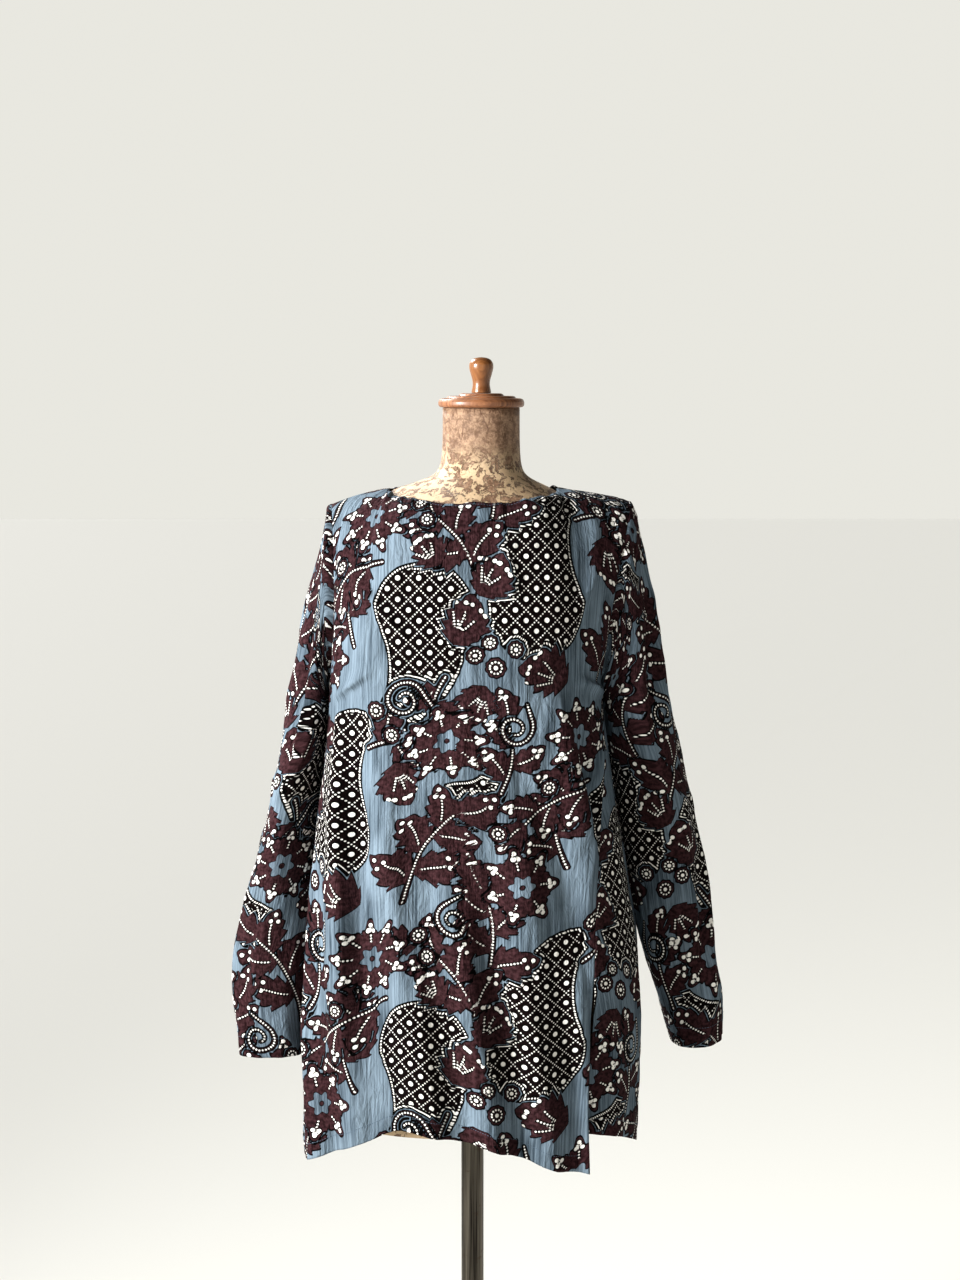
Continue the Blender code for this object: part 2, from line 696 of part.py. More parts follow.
def make_material(name):
    """One of the part's plain finishes."""
    colour, roughness, metallic = MATERIALS[name]
    material = bpy.data.materials.new(name)
    material.use_nodes = True
    shader = material.node_tree.nodes["Principled BSDF"]
    shader.inputs["Base Color"].default_value = (*colour, 1.0)
    shader.inputs["Roughness"].default_value = roughness
    shader.inputs["Metallic"].default_value = metallic
    material.diffuse_color = (*colour, 1.0)
    return material


def main():
    """Builds every piece of the part."""
    for obj in list(bpy.data.objects):
        bpy.data.objects.remove(obj, do_unlink=True)
    finishes = {name: make_material(name) for name in MATERIALS}
    build_panel("front", FRONT_COLUMNS, finishes["cotton"])
    build_panel("back", BACK_COLUMNS, finishes["cotton"])
    build_sleeve("left", finishes["cotton"])
    build_sleeve("right", finishes["cotton"])
    build_torso(finishes["papier_mache"])
    build_turned("neck_cap", CAP, NECK_CENTRE_X, finishes["turned_wood"])
    build_turned("knob", KNOB, NECK_CENTRE_X, finishes["light_wood"])
    build_turned("flange", FLANGE, 0.0, finishes["aged_steel"])
    pole = ((0.0, POLE_FOOT), (POLE_RADIUS, POLE_FOOT), (POLE_RADIUS, POLE_TOP), (0.0, POLE_TOP))
    build_turned("pole", pole, 0.0, finishes["aged_steel"])
    build_turned("base", BASE, 0.0, finishes["aged_steel"])


main()
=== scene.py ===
"""Dress of a printed cotton blouse on a limbless dress form: cloth, print, sewing, form, stand, light and camera."""

import logging
import math
from dataclasses import dataclass
from enum import Enum
from typing import Any, Optional, Sequence

import bmesh
import bpy
import numpy as np
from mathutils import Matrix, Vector


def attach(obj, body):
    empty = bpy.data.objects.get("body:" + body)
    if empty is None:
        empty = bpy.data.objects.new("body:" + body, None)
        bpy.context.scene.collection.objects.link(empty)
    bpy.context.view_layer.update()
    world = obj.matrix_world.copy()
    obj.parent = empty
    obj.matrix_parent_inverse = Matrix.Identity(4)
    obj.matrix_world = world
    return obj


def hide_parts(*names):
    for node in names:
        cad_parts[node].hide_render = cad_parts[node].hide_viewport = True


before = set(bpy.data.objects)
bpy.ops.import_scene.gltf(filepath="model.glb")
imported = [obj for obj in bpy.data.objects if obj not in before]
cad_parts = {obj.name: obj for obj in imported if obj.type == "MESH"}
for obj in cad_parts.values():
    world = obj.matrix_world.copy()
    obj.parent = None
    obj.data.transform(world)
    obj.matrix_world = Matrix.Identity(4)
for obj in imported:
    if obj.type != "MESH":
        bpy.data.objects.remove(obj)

LOG = logging.getLogger("blouse")
MM = 0.001
# Distances in millimetres that stand for nothing near, and for off a dotted line.
FAR = 12.0
OFF_LINE = 9.0
# Width in millimetres of the bare line of ground that parts one motif from the next.
HALO = 2.3
# How many times the height in its row a crease has.
CREASE_FACTOR = 3.1
# Distance in metres from a seam over which creases fade out.
SEAM_FADE = 0.014

Table = Sequence[Sequence[float]]
Grid = np.ndarray
Tree = bpy.types.NodeTree
Material = bpy.types.Material


class Face(Enum):
    """Which body panel a piece is."""

    FRONT = "front"
    BACK = "back"


class Side(Enum):
    """Which arm a piece is on, as the viewer sees it."""

    LEFT = "left"
    RIGHT = "right"


def linear(colour: str) -> tuple[float, float, float, float]:
    """Linear colour with full alpha from an sRGB hex value.

    Args:
        colour: six hex digits after a hash.

    Returns:
        Red, green, blue and alpha.
    """
    parts = [int(colour[index:index + 2], 16) / 255.0 for index in (1, 3, 5)]
    turned = [part / 12.92 if part <= 0.04045 else ((part + 0.055) / 1.055) ** 2.4 for part in parts]
    return (turned[0], turned[1], turned[2], 1.0)


def set_inputs(tree: Tree, node: bpy.types.Node, inputs: dict[Any, Any]) -> None:
    """Fills a node's inputs.

    Args:
        tree: the node's own tree.
        node: the node.
        inputs: value, socket or node for each input, by name or place. A node gives its first output in use.
    """
    for name, value in inputs.items():
        if isinstance(value, bpy.types.Node):
            value = next(output for output in value.outputs if output.enabled)
        if isinstance(value, bpy.types.NodeSocket):
            tree.links.new(value, node.inputs[name])
        else:
            node.inputs[name].default_value = value


def add_node(
    tree: Tree, kind: str, inputs: Optional[dict[Any, Any]] = None, **settings: Any
) -> bpy.types.Node:
    """Adds a node with its settings and links.

    Args:
        tree: node tree of a material or of the world.
        kind: the node's Blender type, without the start that all share.
        inputs: what set_inputs takes.
        settings: attributes set on the node itself.

    Returns:
        The node.
    """
    node = tree.nodes.new("ShaderNode" + kind)
    for name, value in settings.items():
        setattr(node, name, value)
    set_inputs(tree, node, inputs or {})
    return node


def eased(value: Any) -> Any:
    """Eased share between 0 and 1, of a number or an array."""
    value = np.clip(value, 0.0, 1.0)
    return value * value * (3.0 - 2.0 * value)


def read(table: Table, at: float) -> list[float]:
    """Reads the columns of a table after its first, eased between the rows.

    Args:
        table: rows that start with the value they are kept by.
        at: value to read at.

    Returns:
        The other columns at that value.
    """
    rows = sorted(table)
    keys = [row[0] for row in rows]
    if at <= keys[0]:
        return list(rows[0][1:])
    if at >= keys[-1]:
        return list(rows[-1][1:])
    index = int(np.searchsorted(keys, at)) - 1
    span = keys[index + 1] - keys[index]
    share = (at - keys[index]) / span
    before, after = rows[max(0, index - 1)], rows[min(len(rows) - 1, index + 2)]
    cube, square = share ** 3, share ** 2
    values = []
    for column in range(1, len(rows[0])):
        here, there = rows[index][column], rows[index + 1][column]
        slope_in = (there - before[column]) / max(1e-9, keys[index + 1] - before[0]) * span
        slope_out = (after[column] - here) / max(1e-9, after[0] - keys[index]) * span
        values.append(
            (2 * cube - 3 * square + 1) * here
            + (cube - 2 * square + share) * slope_in
            + (3 * square - 2 * cube) * there
            + (cube - square) * slope_out
        )
    return values


def resample(values: Grid, places: Grid) -> Grid:
    """Smooth curve through the rows of a grid, read at places along its first axis.

    Args:
        values: grid whose first axis is resampled.
        places: places between 0 and the last row.

    Returns:
        The grid at those places.
    """
    count = len(values)
    index = np.clip(np.floor(places).astype(int), 0, count - 2)
    share = (places - index).reshape((-1,) + (1,) * (values.ndim - 1))
    here, there = values[index], values[index + 1]
    first = np.where((index == 0).reshape(share.shape), 2 * here - there, values[np.maximum(index - 1, 0)])
    last_row = (index == count - 2).reshape(share.shape)
    last = np.where(last_row, 2 * there - here, values[np.minimum(index + 2, count - 1)])
    return 0.5 * (
        2 * here
        + (there - first) * share
        + (2 * first - 5 * here + 4 * there - last) * share ** 2
        + (3 * here - first - 3 * there + last) * share ** 3
    )


def boxed(angle: float, half_x: float, half_y: float, power: float) -> tuple[float, float]:
    """Point of a boxed oval at an angle."""
    cosine, sine = math.cos(angle), math.sin(angle)
    x = half_x * math.copysign(abs(cosine) ** (2.0 / power), cosine)
    y = half_y * math.copysign(abs(sine) ** (2.0 / power), sine)
    return x, y


@dataclass
class BlouseShape:
    """The hanging blouse's own sizes, in metres, and the points of its pieces."""

    underarm_z: float = 1.181
    fall_end: float = 0.625
    vent_top_z: float = 0.87
    vent_row: float = 6 / 15
    vent_spread: float = 0.003
    spread_radius: float = 0.15
    vent_tuck: float = 0.013
    vent_overlap: float = 8.0
    vent_tuck_width: float = 34.0
    box_power: float = 2.7
    # height, left edge, right edge, front face, back face
    body: Table = (
        (1.200, -0.155, 0.142, -0.110, 0.098),
        (1.181, -0.157, 0.142, -0.113, 0.100),
        (1.113, -0.161, 0.150, -0.121, 0.101),
        (1.052, -0.168, 0.158, -0.121, 0.099),
        (0.991, -0.173, 0.169, -0.118, 0.099),
        (0.946, -0.177, 0.175, -0.117, 0.101),
        (0.907, -0.180, 0.181, -0.116, 0.103),
        (0.837, -0.185, 0.187, -0.116, 0.106),
        (0.779, -0.190, 0.190, -0.117, 0.108),
        (0.700, -0.191, 0.188, -0.117, 0.109),
        (0.600, -0.191, 0.184, -0.117, 0.109),
    )
    # height, then how far forward of each side its seam lies, in degrees
    seams: Table = (
        (1.181, 0.0, 0.0),
        (1.100, 0.0, 20.0),
        (1.000, -1.0, 40.0),
        (0.900, -3.0, 50.0),
        (0.760, -5.0, 54.0),
        (0.600, -6.0, 51.0),
    )
    # share across a panel, then the height of the front's and the back's hem
    hems: Table = (
        (0.00, 0.641, 0.640),
        (0.10, 0.642, 0.634),
        (0.20, 0.648, 0.632),
        (0.30, 0.659, 0.636),
        (0.40, 0.673, 0.640),
        (0.50, 0.687, 0.640),
        (0.60, 0.701, 0.634),
        (0.70, 0.692, 0.640),
        (0.80, 0.672, 0.664),
        (0.90, 0.656, 0.682),
        (1.00, 0.648, 0.694),
    )
    # place at the top and at the hem in degrees, start height, half width, depth at the hem
    folds: Table = (
        (216.0, 214.0, 1.15, 12.0, 0.007),
        (232.0, 229.0, 1.05, 11.0, -0.006),
        (252.0, 247.0, 0.98, 13.0, 0.006),
        (286.0, 292.0, 0.92, 13.0, -0.005),
        (313.0, 313.0, 1.12, 12.0, 0.007),
        (338.0, 340.0, 1.05, 11.0, -0.007),
        (20.0, 18.0, 1.08, 13.0, 0.008),
        (48.0, 45.0, 1.00, 12.0, -0.007),
        (75.0, 72.0, 1.05, 14.0, 0.007),
        (104.0, 102.0, 1.00, 12.0, -0.006),
        (133.0, 135.0, 1.08, 13.0, 0.007),
        (160.0, 162.0, 1.02, 11.0, -0.006),
    )
    # shoulder tip x and z, underarm x, forward reach, backward reach, inset of the edge
    armhole_left: Sequence[float] = (-0.1535, 1.3765, -0.157, 0.056, 0.060, 0.006)
    armhole_right: Sequence[float] = (0.1740, 1.3790, 0.142, 0.056, 0.060, 0.004)
    neck_left_x: float = -0.0905
    neck_right_x: float = 0.0925
    neck_point_z: float = 1.3935
    neck_front: float = 0.072
    neck_back: float = 0.050
    neck_front_z: float = 1.3815
    neck_back_z: float = 1.3925
    shoulder_share: float = 0.19
    neck_power: float = 2.3
    yoke_soft_reach: float = 0.85
    seam_gap: float = 0.0003
    # outer x and z, inner x and z, reach to the front, reach to the back, middle, turn
    sleeve_left: Table = (
        (-0.1590, 1.3740, -0.1600, 1.1800, 0.056, 0.060, 0.000, 0.0),
        (-0.1650, 1.3420, -0.1625, 1.1785, 0.056, 0.060, 0.001, 0.0),
        (-0.1745, 1.2950, -0.1645, 1.1760, 0.056, 0.060, 0.003, 0.0),
        (-0.1850, 1.2440, -0.1665, 1.1700, 0.057, 0.060, 0.006, 0.0),
        (-0.1950, 1.1950, -0.1675, 1.1580, 0.058, 0.060, 0.010, 0.0),
        (-0.2040, 1.1450, -0.1700, 1.1250, 0.058, 0.059, 0.015, -4.0),
        (-0.2160, 1.0900, -0.1715, 1.0760, 0.057, 0.058, 0.022, -8.0),
        (-0.2290, 1.0300, -0.1730, 1.0200, 0.056, 0.056, 0.030, -12.0),
        (-0.2420, 0.9750, -0.1755, 0.9670, 0.054, 0.054, 0.036, -16.0),
        (-0.2560, 0.9150, -0.1785, 0.9080, 0.052, 0.052, 0.041, -18.0),
        (-0.2690, 0.8550, -0.1815, 0.8500, 0.050, 0.050, 0.044, -20.0),
        (-0.2725, 0.8050, -0.1850, 0.8010, 0.048, 0.048, 0.046, -20.0),
        (-0.2695, 0.7470, -0.1870, 0.7440, 0.046, 0.046, 0.047, -20.0),
    )
    sleeve_right: Table = (
        (0.1800, 1.3660, 0.1450, 1.1800, 0.056, 0.060, 0.000, 0.0),
        (0.1835, 1.3420, 0.1475, 1.1780, 0.056, 0.060, 0.002, 0.0),
        (0.1910, 1.3060, 0.1500, 1.1750, 0.057, 0.061, 0.004, 0.0),
        (0.2000, 1.2620, 0.1525, 1.1690, 0.058, 0.062, 0.008, 0.0),
        (0.2080, 1.2160, 0.1550, 1.1560, 0.059, 0.062, 0.013, 0.0),
        (0.2190, 1.1620, 0.1570, 1.1250, 0.059, 0.061, 0.019, 4.0),
        (0.2300, 1.1120, 0.1590, 1.0790, 0.058, 0.059, 0.026, 8.0),
        (0.2430, 1.0620, 0.1630, 1.0330, 0.057, 0.057, 0.033, 10.0),
        (0.2550, 1.0000, 0.1700, 0.9800, 0.055, 0.055, 0.040, 12.0),
        (0.2670, 0.9320, 0.1810, 0.9180, 0.053, 0.053, 0.044, 12.0),
        (0.2770, 0.8660, 0.1980, 0.8560, 0.051, 0.051, 0.044, 10.0),
        (0.2875, 0.8100, 0.2150, 0.8040, 0.049, 0.049, 0.040, 7.0),
        (0.2870, 0.7660, 0.2285, 0.7560, 0.047, 0.047, 0.038, 5.0),
    )
    # how many lobes round a sleeve, their start and their size
    sleeve_lobes: Table = ((3, 0.7, 0.0022), (2, 2.1, 0.0028))

    def fold_depth(self, angle: float, z: float) -> float:
        """Sum of the largest folds at a place round the body and a height."""
        total = 0.0
        degrees = math.degrees(angle) % 360.0
        for top_place, hem_place, start_z, half_width, depth in self.folds:
            fall = float(eased((start_z - z) / (start_z - self.fall_end)))
            place = top_place + (hem_place - top_place) * fall
            away = (degrees - place + 180.0) % 360.0 - 180.0
            total += depth * fall * math.exp(-((away / half_width) ** 2))
        return total

    def vent_share(self, z: float) -> float:
        """How far a height lies down the side vents, from their top (0) to the hem (1)."""
        return min(1.0, max(0.0, (self.vent_top_z - z) / (self.vent_top_z - self.fall_end)))

    def seam_angles(self, z: float, face: Face) -> tuple[float, float]:
        """Start and end of a panel round the body at a height, left edge first."""
        left, right = read(self.seams, z)
        share = self.vent_share(z)
        spread = (self.seam_gap / 2 + self.vent_spread * min(1.0, share * 5.0)) / self.spread_radius
        if face is Face.FRONT:
            return math.radians(180.0 + left) + spread, math.radians(360.0 - right) - spread
        lapped = self.vent_overlap * float(eased((share - 0.35) / 0.65))
        return math.radians(180.0 + left) - spread, math.radians(-right - lapped) + spread

    def body_point(self, angle: float, z: float, face: Face) -> Grid:
        """Point of the hanging cloth round the body, below the arms."""
        left, right, front, back = read(self.body, z)
        half_x, middle_x = (right - left) / 2.0, (right + left) / 2.0
        depth = -front if math.sin(angle) < 0 else back
        x, y = boxed(angle, half_x, depth, self.box_power)
        reach = math.hypot(x, y)
        out = self.fold_depth(angle, z)
        if face is Face.BACK:
            edge = math.degrees(self.seam_angles(z, face)[1])
            near = float(eased(1.0 - (math.degrees(angle) - edge) / self.vent_tuck_width))
            out -= self.vent_tuck * float(eased(self.vent_share(z) * 1.6)) * near
        scale = 1.0 + out / reach
        return np.array((middle_x + x * scale, y * scale, z))

    def armhole(self, side: Side) -> Sequence[float]:
        """The sizes of one armhole."""
        return self.armhole_left if side is Side.LEFT else self.armhole_right

    def armhole_point(self, side: Side, face: Face, share: float) -> Grid:
        """Point of an armhole's edge, from the underarm (0) to the shoulder tip (1)."""
        tip_x, tip_z, under_x, front_reach, back_reach, inset = self.armhole(side)
        turn = math.pi * (1.0 - share)
        reach = -front_reach if face is Face.FRONT else back_reach
        middle = (tip_z + self.underarm_z) / 2.0
        z = middle + (tip_z - self.underarm_z) / 2.0 * math.cos(turn)
        x = under_x + (tip_x - under_x) * (z - self.underarm_z) / (tip_z - self.underarm_z)
        inward = 1.0 if side is Side.LEFT else -1.0
        return np.array((x + inward * inset * math.sin(turn) ** 2, reach * math.sin(turn), z))

    def top_edge(self, face: Face, across: float) -> Grid:
        """Point of a panel's top edge: a shoulder, the neckline, then the other shoulder."""
        for side, start, neck_x in ((Side.LEFT, 0.0, self.neck_left_x), (Side.RIGHT, 1.0, self.neck_right_x)):
            away = abs(across - start)
            if away > self.shoulder_share:
                continue
            share = away / self.shoulder_share
            tip_x, tip_z = self.armhole(side)[:2]
            lift = 0.0025 * math.sin(math.pi * share)
            return np.array((tip_x + (neck_x - tip_x) * share, 0.0,
                             tip_z + (self.neck_point_z - tip_z) * share + lift))
        turn = math.pi * (across - self.shoulder_share) / (1.0 - 2.0 * self.shoulder_share)
        x, y = boxed(turn, 1.0, 1.0, self.neck_power)
        middle = (self.neck_left_x + self.neck_right_x) / 2.0
        half = (self.neck_right_x - self.neck_left_x) / 2.0
        if face is Face.FRONT:
            reach, low = -self.neck_front, self.neck_front_z
        else:
            reach, low = self.neck_back, self.neck_back_z
        drop = (low - self.neck_point_z) * abs(y)
        return np.array((middle - half * x, reach * y, self.neck_point_z + drop))

    def yoke_point(self, face: Face, across: float, share: float) -> Grid:
        """Point of a panel from the underarm level (0) to its top edge (1)."""
        start, end = self.seam_angles(self.underarm_z, face)
        low = self.body_point(start + (end - start) * across, self.underarm_z, face)
        high = self.top_edge(face, across)
        reach = -self.neck_front if face is Face.FRONT else self.neck_back
        soft = reach * self.yoke_soft_reach * math.sin(math.pi * across) ** 1.3
        high[1] = soft + (high[1] - soft) * share ** 3
        shares = np.array((share, 1.0 - math.cos(share * math.pi / 2.0), math.sin(share * math.pi / 2.0)))
        point = low + (high - low) * shares
        edges = ((Side.LEFT, 0.0, start, (1.0 - across) ** 4), (Side.RIGHT, 1.0, end, across ** 4))
        for side, edge_across, angle, weight in edges:
            edge_low = self.body_point(angle, self.underarm_z, face)
            ruled = edge_low + (self.top_edge(face, edge_across) - edge_low) * shares
            point = point + weight * (self.armhole_point(side, face, share) - ruled)
        return point

    def row_height(self, face: Face, across: float, row: float) -> float:
        """Height of a row below the arms, from the hem to the vent's top and then the underarm."""
        front, back = read(self.hems, across)
        hem = front if face is Face.FRONT else back
        if row <= self.vent_row:
            return hem + (self.vent_top_z - hem) * row / self.vent_row
        upper = (row - self.vent_row) / (1.0 - self.vent_row)
        return self.vent_top_z + (self.underarm_z - self.vent_top_z) * upper

    def panel_point(self, face: Face, across: float, row: float) -> Grid:
        """Point of a body panel: row 0 is the hem, 1 the underarm level, 2 the top edge."""
        if row > 1.0:
            return self.yoke_point(face, across, row - 1.0)
        z = self.row_height(face, across, row)
        start, end = self.seam_angles(z, face)
        return self.body_point(start + (end - start) * across, z, face)

    def sleeve_point(self, side: Side, along: float, turn: float) -> Grid:
        """Point of a sleeve, from just outside the armhole (0) to its hem (1)."""
        rows = self.sleeve_left if side is Side.LEFT else self.sleeve_right
        table = [(index / (len(rows) - 1.0),) + tuple(row) for index, row in enumerate(rows)]
        outer_x, outer_z, inner_x, inner_z, front, back, middle, twist = read(table, along)
        centre = np.array(((outer_x + inner_x) / 2.0, middle, (outer_z + inner_z) / 2.0))
        half = np.array(((outer_x - inner_x) / 2.0, 0.0, (outer_z - inner_z) / 2.0))
        reach = -front if math.sin(turn) > 0 else -back
        lobes = sum(size * math.cos(count * turn + start + 2.5 * along)
                    for count, start, size in self.sleeve_lobes)
        swell = 1.0 + float(eased((along - 0.2) / 0.4)) * lobes / 0.05
        cosine, sine = math.cos(turn), math.sin(turn)
        flat = math.copysign(abs(sine) ** 0.9, sine)
        angle = math.radians(twist)
        out = half * cosine + np.array((0.0, reach * flat, 0.0)) * swell
        x = out[0] * math.cos(angle) - out[1] * math.sin(angle)
        y = out[0] * math.sin(angle) + out[1] * math.cos(angle)
        return centre + np.array((x, y, out[2]))

    def sleeve_edge(self, side: Side, turn: float) -> Grid:
        """Point of a sleeve's head, set against the armhole."""
        outward = -1.0 if side is Side.LEFT else 1.0
        share = 1.0 - turn / math.pi if turn <= math.pi else turn / math.pi - 1.0
        face = Face.FRONT if turn <= math.pi else Face.BACK
        edge = self.armhole_point(side, face, share)
        edge[0] += outward * (self.seam_gap + self.armhole(side)[5] * math.sin(turn) ** 2)
        return edge


@dataclass
class Crease:
    """One soft crease, in millimetres of the cut: its middle, lean from upright, length, width and height."""

    across: float
    along: float
    lean: float
    length: float
    width: float
    height: float

    def depth(self, cut: Grid) -> Grid:
        """Height of the crease over a piece.

        Args:
            cut: places on the cut, in metres.

        Returns:
            Height in metres, up for a ridge and down for a trough.
        """
        angle = math.radians(self.lean)
        x, y = cut[..., 0] / MM - self.across, cut[..., 1] / MM - self.along
        side = x * math.cos(angle) - y * math.sin(angle)
        way = x * math.sin(angle) + y * math.cos(angle)
        side = side + 0.06 * self.length * np.sin(way / self.length * 2.2)
        fade = eased(1.25 - np.abs(way) / self.length * 2.0)
        steep = np.where(side > 0, self.width * 0.75, self.width * 1.3)
        return CREASE_FACTOR * self.height * MM * fade * np.exp(-((side / steep) ** 2))


@dataclass
class Sheet:
    """A dense sheet of cloth: its points, their places on the cut, and whether its sides meet in a tube."""

    points: Grid
    cut: Grid
    closed: bool = False

    def normals(self) -> Grid:
        """Directions out of the sheet at each point."""
        if self.closed:
            padded = np.concatenate((self.points[:, -2:-1], self.points, self.points[:, 1:2]), axis=1)
            along = (padded[:, 2:] - padded[:, :-2])
        else:
            along = np.gradient(self.points, axis=1)
        down = np.gradient(self.points, axis=0)
        normal = np.cross(along, down)
        return normal / np.maximum(np.linalg.norm(normal, axis=2, keepdims=True), 1e-12)

    def move_out(self, height: Grid) -> None:
        """Moves each point out by its height in metres."""
        self.points = self.points + self.normals() * height[..., None]

    def turned(self, top: int, bottom: int, sides: int, gap: float) -> "Sheet":
        """The sheet with its edges turned under to the inside.

        Args:
            top: rows turned under at the first row.
            bottom: rows turned under at the last row.
            sides: columns turned under at each side.
            gap: distance between the two layers in metres.

        Returns:
            The larger sheet.
        """
        arrays = [self.points, self.cut, self.normals()]
        for axis, first, last in ((0, top, bottom), (1, sides, sides)):
            size, joined = arrays[0].shape[axis], [[array] for array in arrays]
            for start, count in ((True, first), (False, last)):
                away, shape = np.arange(count), [1, 1, 1]
                shape[axis] = count
                deep = gap * eased((away + 1) / 2.0)
                rows = away[::-1] if start else size - 1 - away
                under = [np.take(array, rows, axis=axis) for array in arrays]
                under[0] = under[0] - under[2] * (deep[::-1] if start else deep).reshape(shape)
                for parts, part in zip(joined, under):
                    parts.insert(0 if start else len(parts), part)
            arrays = [np.concatenate(parts, axis=axis) for parts in joined]
        return Sheet(arrays[0], arrays[1], self.closed)


def make_object(
    name: str,
    points: Grid,
    faces: Grid,
    material: Material,
) -> bpy.types.Object:
    """Object from points and quads or triangles, in one material.

    Args:
        name: the piece's name.
        points: N by 3 points in metres.
        faces: M by 3 or M by 4 corners.
        material: its finish.

    Returns:
        The object, linked to the scene.
    """
    mesh = bpy.data.meshes.new(name)
    corners = faces.shape[1]
    mesh.vertices.add(len(points))
    mesh.vertices.foreach_set("co", np.ascontiguousarray(points, np.float32).ravel())
    mesh.loops.add(faces.size)
    mesh.loops.foreach_set("vertex_index", np.ascontiguousarray(faces, np.int32).ravel())
    mesh.polygons.add(len(faces))
    mesh.polygons.foreach_set("loop_start", np.arange(0, faces.size, corners, dtype=np.int32))
    mesh.update(calc_edges=True)
    mesh.validate()
    mesh.shade_smooth()
    mesh.materials.append(material)
    obj = bpy.data.objects.new(name, mesh)
    bpy.context.scene.collection.objects.link(obj)
    return obj


def grid_faces(rows: int, columns: int) -> Grid:
    """Quads between the points of a grid, row by row."""
    index = np.arange(rows * columns).reshape(rows, columns)
    return np.stack((index[:-1, :-1], index[:-1, 1:], index[1:, 1:], index[1:, :-1]), axis=2).reshape(-1, 4)


def add_cut_map(obj: bpy.types.Object, cut: Grid) -> None:
    """Stores each point's place on the cut, in metres, as the piece's UV map."""
    mesh = obj.data
    corner = np.empty(len(mesh.loops), np.int32)
    mesh.loops.foreach_get("vertex_index", corner)
    layer = mesh.uv_layers.new(name="Cut")
    layer.uv.foreach_set("vector", np.ascontiguousarray(cut.reshape(-1, 2)[corner], np.float32).ravel())


@dataclass
class PrintField:
    """Distances in millimetres of the cut from each part of the print."""

    motif: Grid
    net: Grid
    round_net: Grid
    eye: Grid
    line: Grid
    run: Grid
    dot: Grid

    @classmethod
    def empty(cls, count: int) -> "PrintField":
        """A field with nothing printed on it."""
        far, none = np.full(count, FAR), np.zeros(count)
        dot = np.stack((far, far, far), axis=1)
        return cls(far.copy(), far.copy(), none, far.copy(), far.copy(), none.copy(), dot)

    def add_net(self, place: Grid, away: Grid, around: Grid) -> None:
        """Joins a netted shape: distance from its edge and length round it."""
        nearer = away < self.net[place]
        self.net[place[nearer]] = away[nearer]
        self.round_net[place[nearer]] = around[nearer]

    def add_shape(self, place: Grid, away: Grid) -> None:
        """Prints a shape over those already there, with a thin line of bare ground round it."""
        cut_back = np.maximum(self.motif[place], HALO - away)
        self.motif[place] = np.minimum(cut_back, away)
        hidden = place[away < HALO]
        self.line[hidden] = FAR
        self.dot[hidden] = FAR
        self.eye[hidden] = FAR

    def add_line(self, place: Grid, away: Grid, run: Grid) -> None:
        """Keeps a dotted line where it is the nearest: signed distance and length along it."""
        nearer = np.abs(away) < np.abs(self.line[place])
        self.line[place[nearer]] = away[nearer]
        self.run[place[nearer]] = run[nearer]

    def add_dot(self, place: Grid, x: Grid, y: Grid, dot: Sequence[float]) -> None:
        """Keeps a round dot where it is the nearest: its place and radius."""
        away_x, away_y = (x - dot[0]) / dot[2], (y - dot[1]) / dot[2]
        away = np.hypot(away_x, away_y)
        nearer = away < self.dot[place, 2]
        self.dot[place[nearer]] = np.stack((away_x, away_y, away), axis=1)[nearer]


@dataclass
class Motif:
    """One printed motif, in millimetres of the repeat, turned by an angle in degrees."""

    x: float
    y: float
    turn: float
    size: float
    mirrored: bool = False

    def reach(self) -> float:
        """Farthest distance that the motif prints from its place."""
        return self.size * 1.6 + 14.0

    def local(self, x: Grid, y: Grid) -> tuple[Grid, Grid]:
        """Places in the motif's own axes."""
        angle = math.radians(self.turn)
        side = x * math.cos(angle) + y * math.sin(angle)
        up = -x * math.sin(angle) + y * math.cos(angle)
        return (-side if self.mirrored else side), up

    def draw(self, field_: PrintField, x: Grid, y: Grid) -> None:
        """Prints the motif at places measured from its own."""
        place = np.flatnonzero(np.hypot(x, y) < self.reach())
        if len(place):
            side, up = self.local(x[place], y[place])
            self.ink(field_, place, side, up)

    def ink(self, field_: PrintField, place: Grid, x: Grid, y: Grid) -> None:
        """Prints at the places in reach. Each kind of motif has its own."""


def brush(
    x: Grid, y: Grid, spine: Sequence[Sequence[float]]
) -> tuple[Grid, Grid, Grid]:
    """A stroke whose width changes along its spine.

    Args:
        x: places across.
        y: places up.
        spine: points with the stroke's half width at each.

    Returns:
        Distance from the stroke's edge, signed distance from its spine, and length along it.
    """
    edge = np.full(x.shape, 99.0)
    middle = np.full(x.shape, 99.0)
    run = np.zeros(x.shape)
    length = 0.0
    for (x0, y0, r0), (x1, y1, r1) in zip(spine[:-1], spine[1:]):
        step_x, step_y = x1 - x0, y1 - y0
        long = math.hypot(step_x, step_y)
        share = np.clip(((x - x0) * step_x + (y - y0) * step_y) / (long * long), 0.0, 1.0)
        off_x, off_y = x - x0 - step_x * share, y - y0 - step_y * share
        away = np.hypot(off_x, off_y)
        edge = np.minimum(edge, away - (r0 + (r1 - r0) * share))
        side = np.sign(step_x * off_y - step_y * off_x + 1e-9) * away
        nearer = away < np.abs(middle)
        middle = np.where(nearer, side, middle)
        run = np.where(nearer, length + long * share, run)
        length += long
    return edge, middle, run


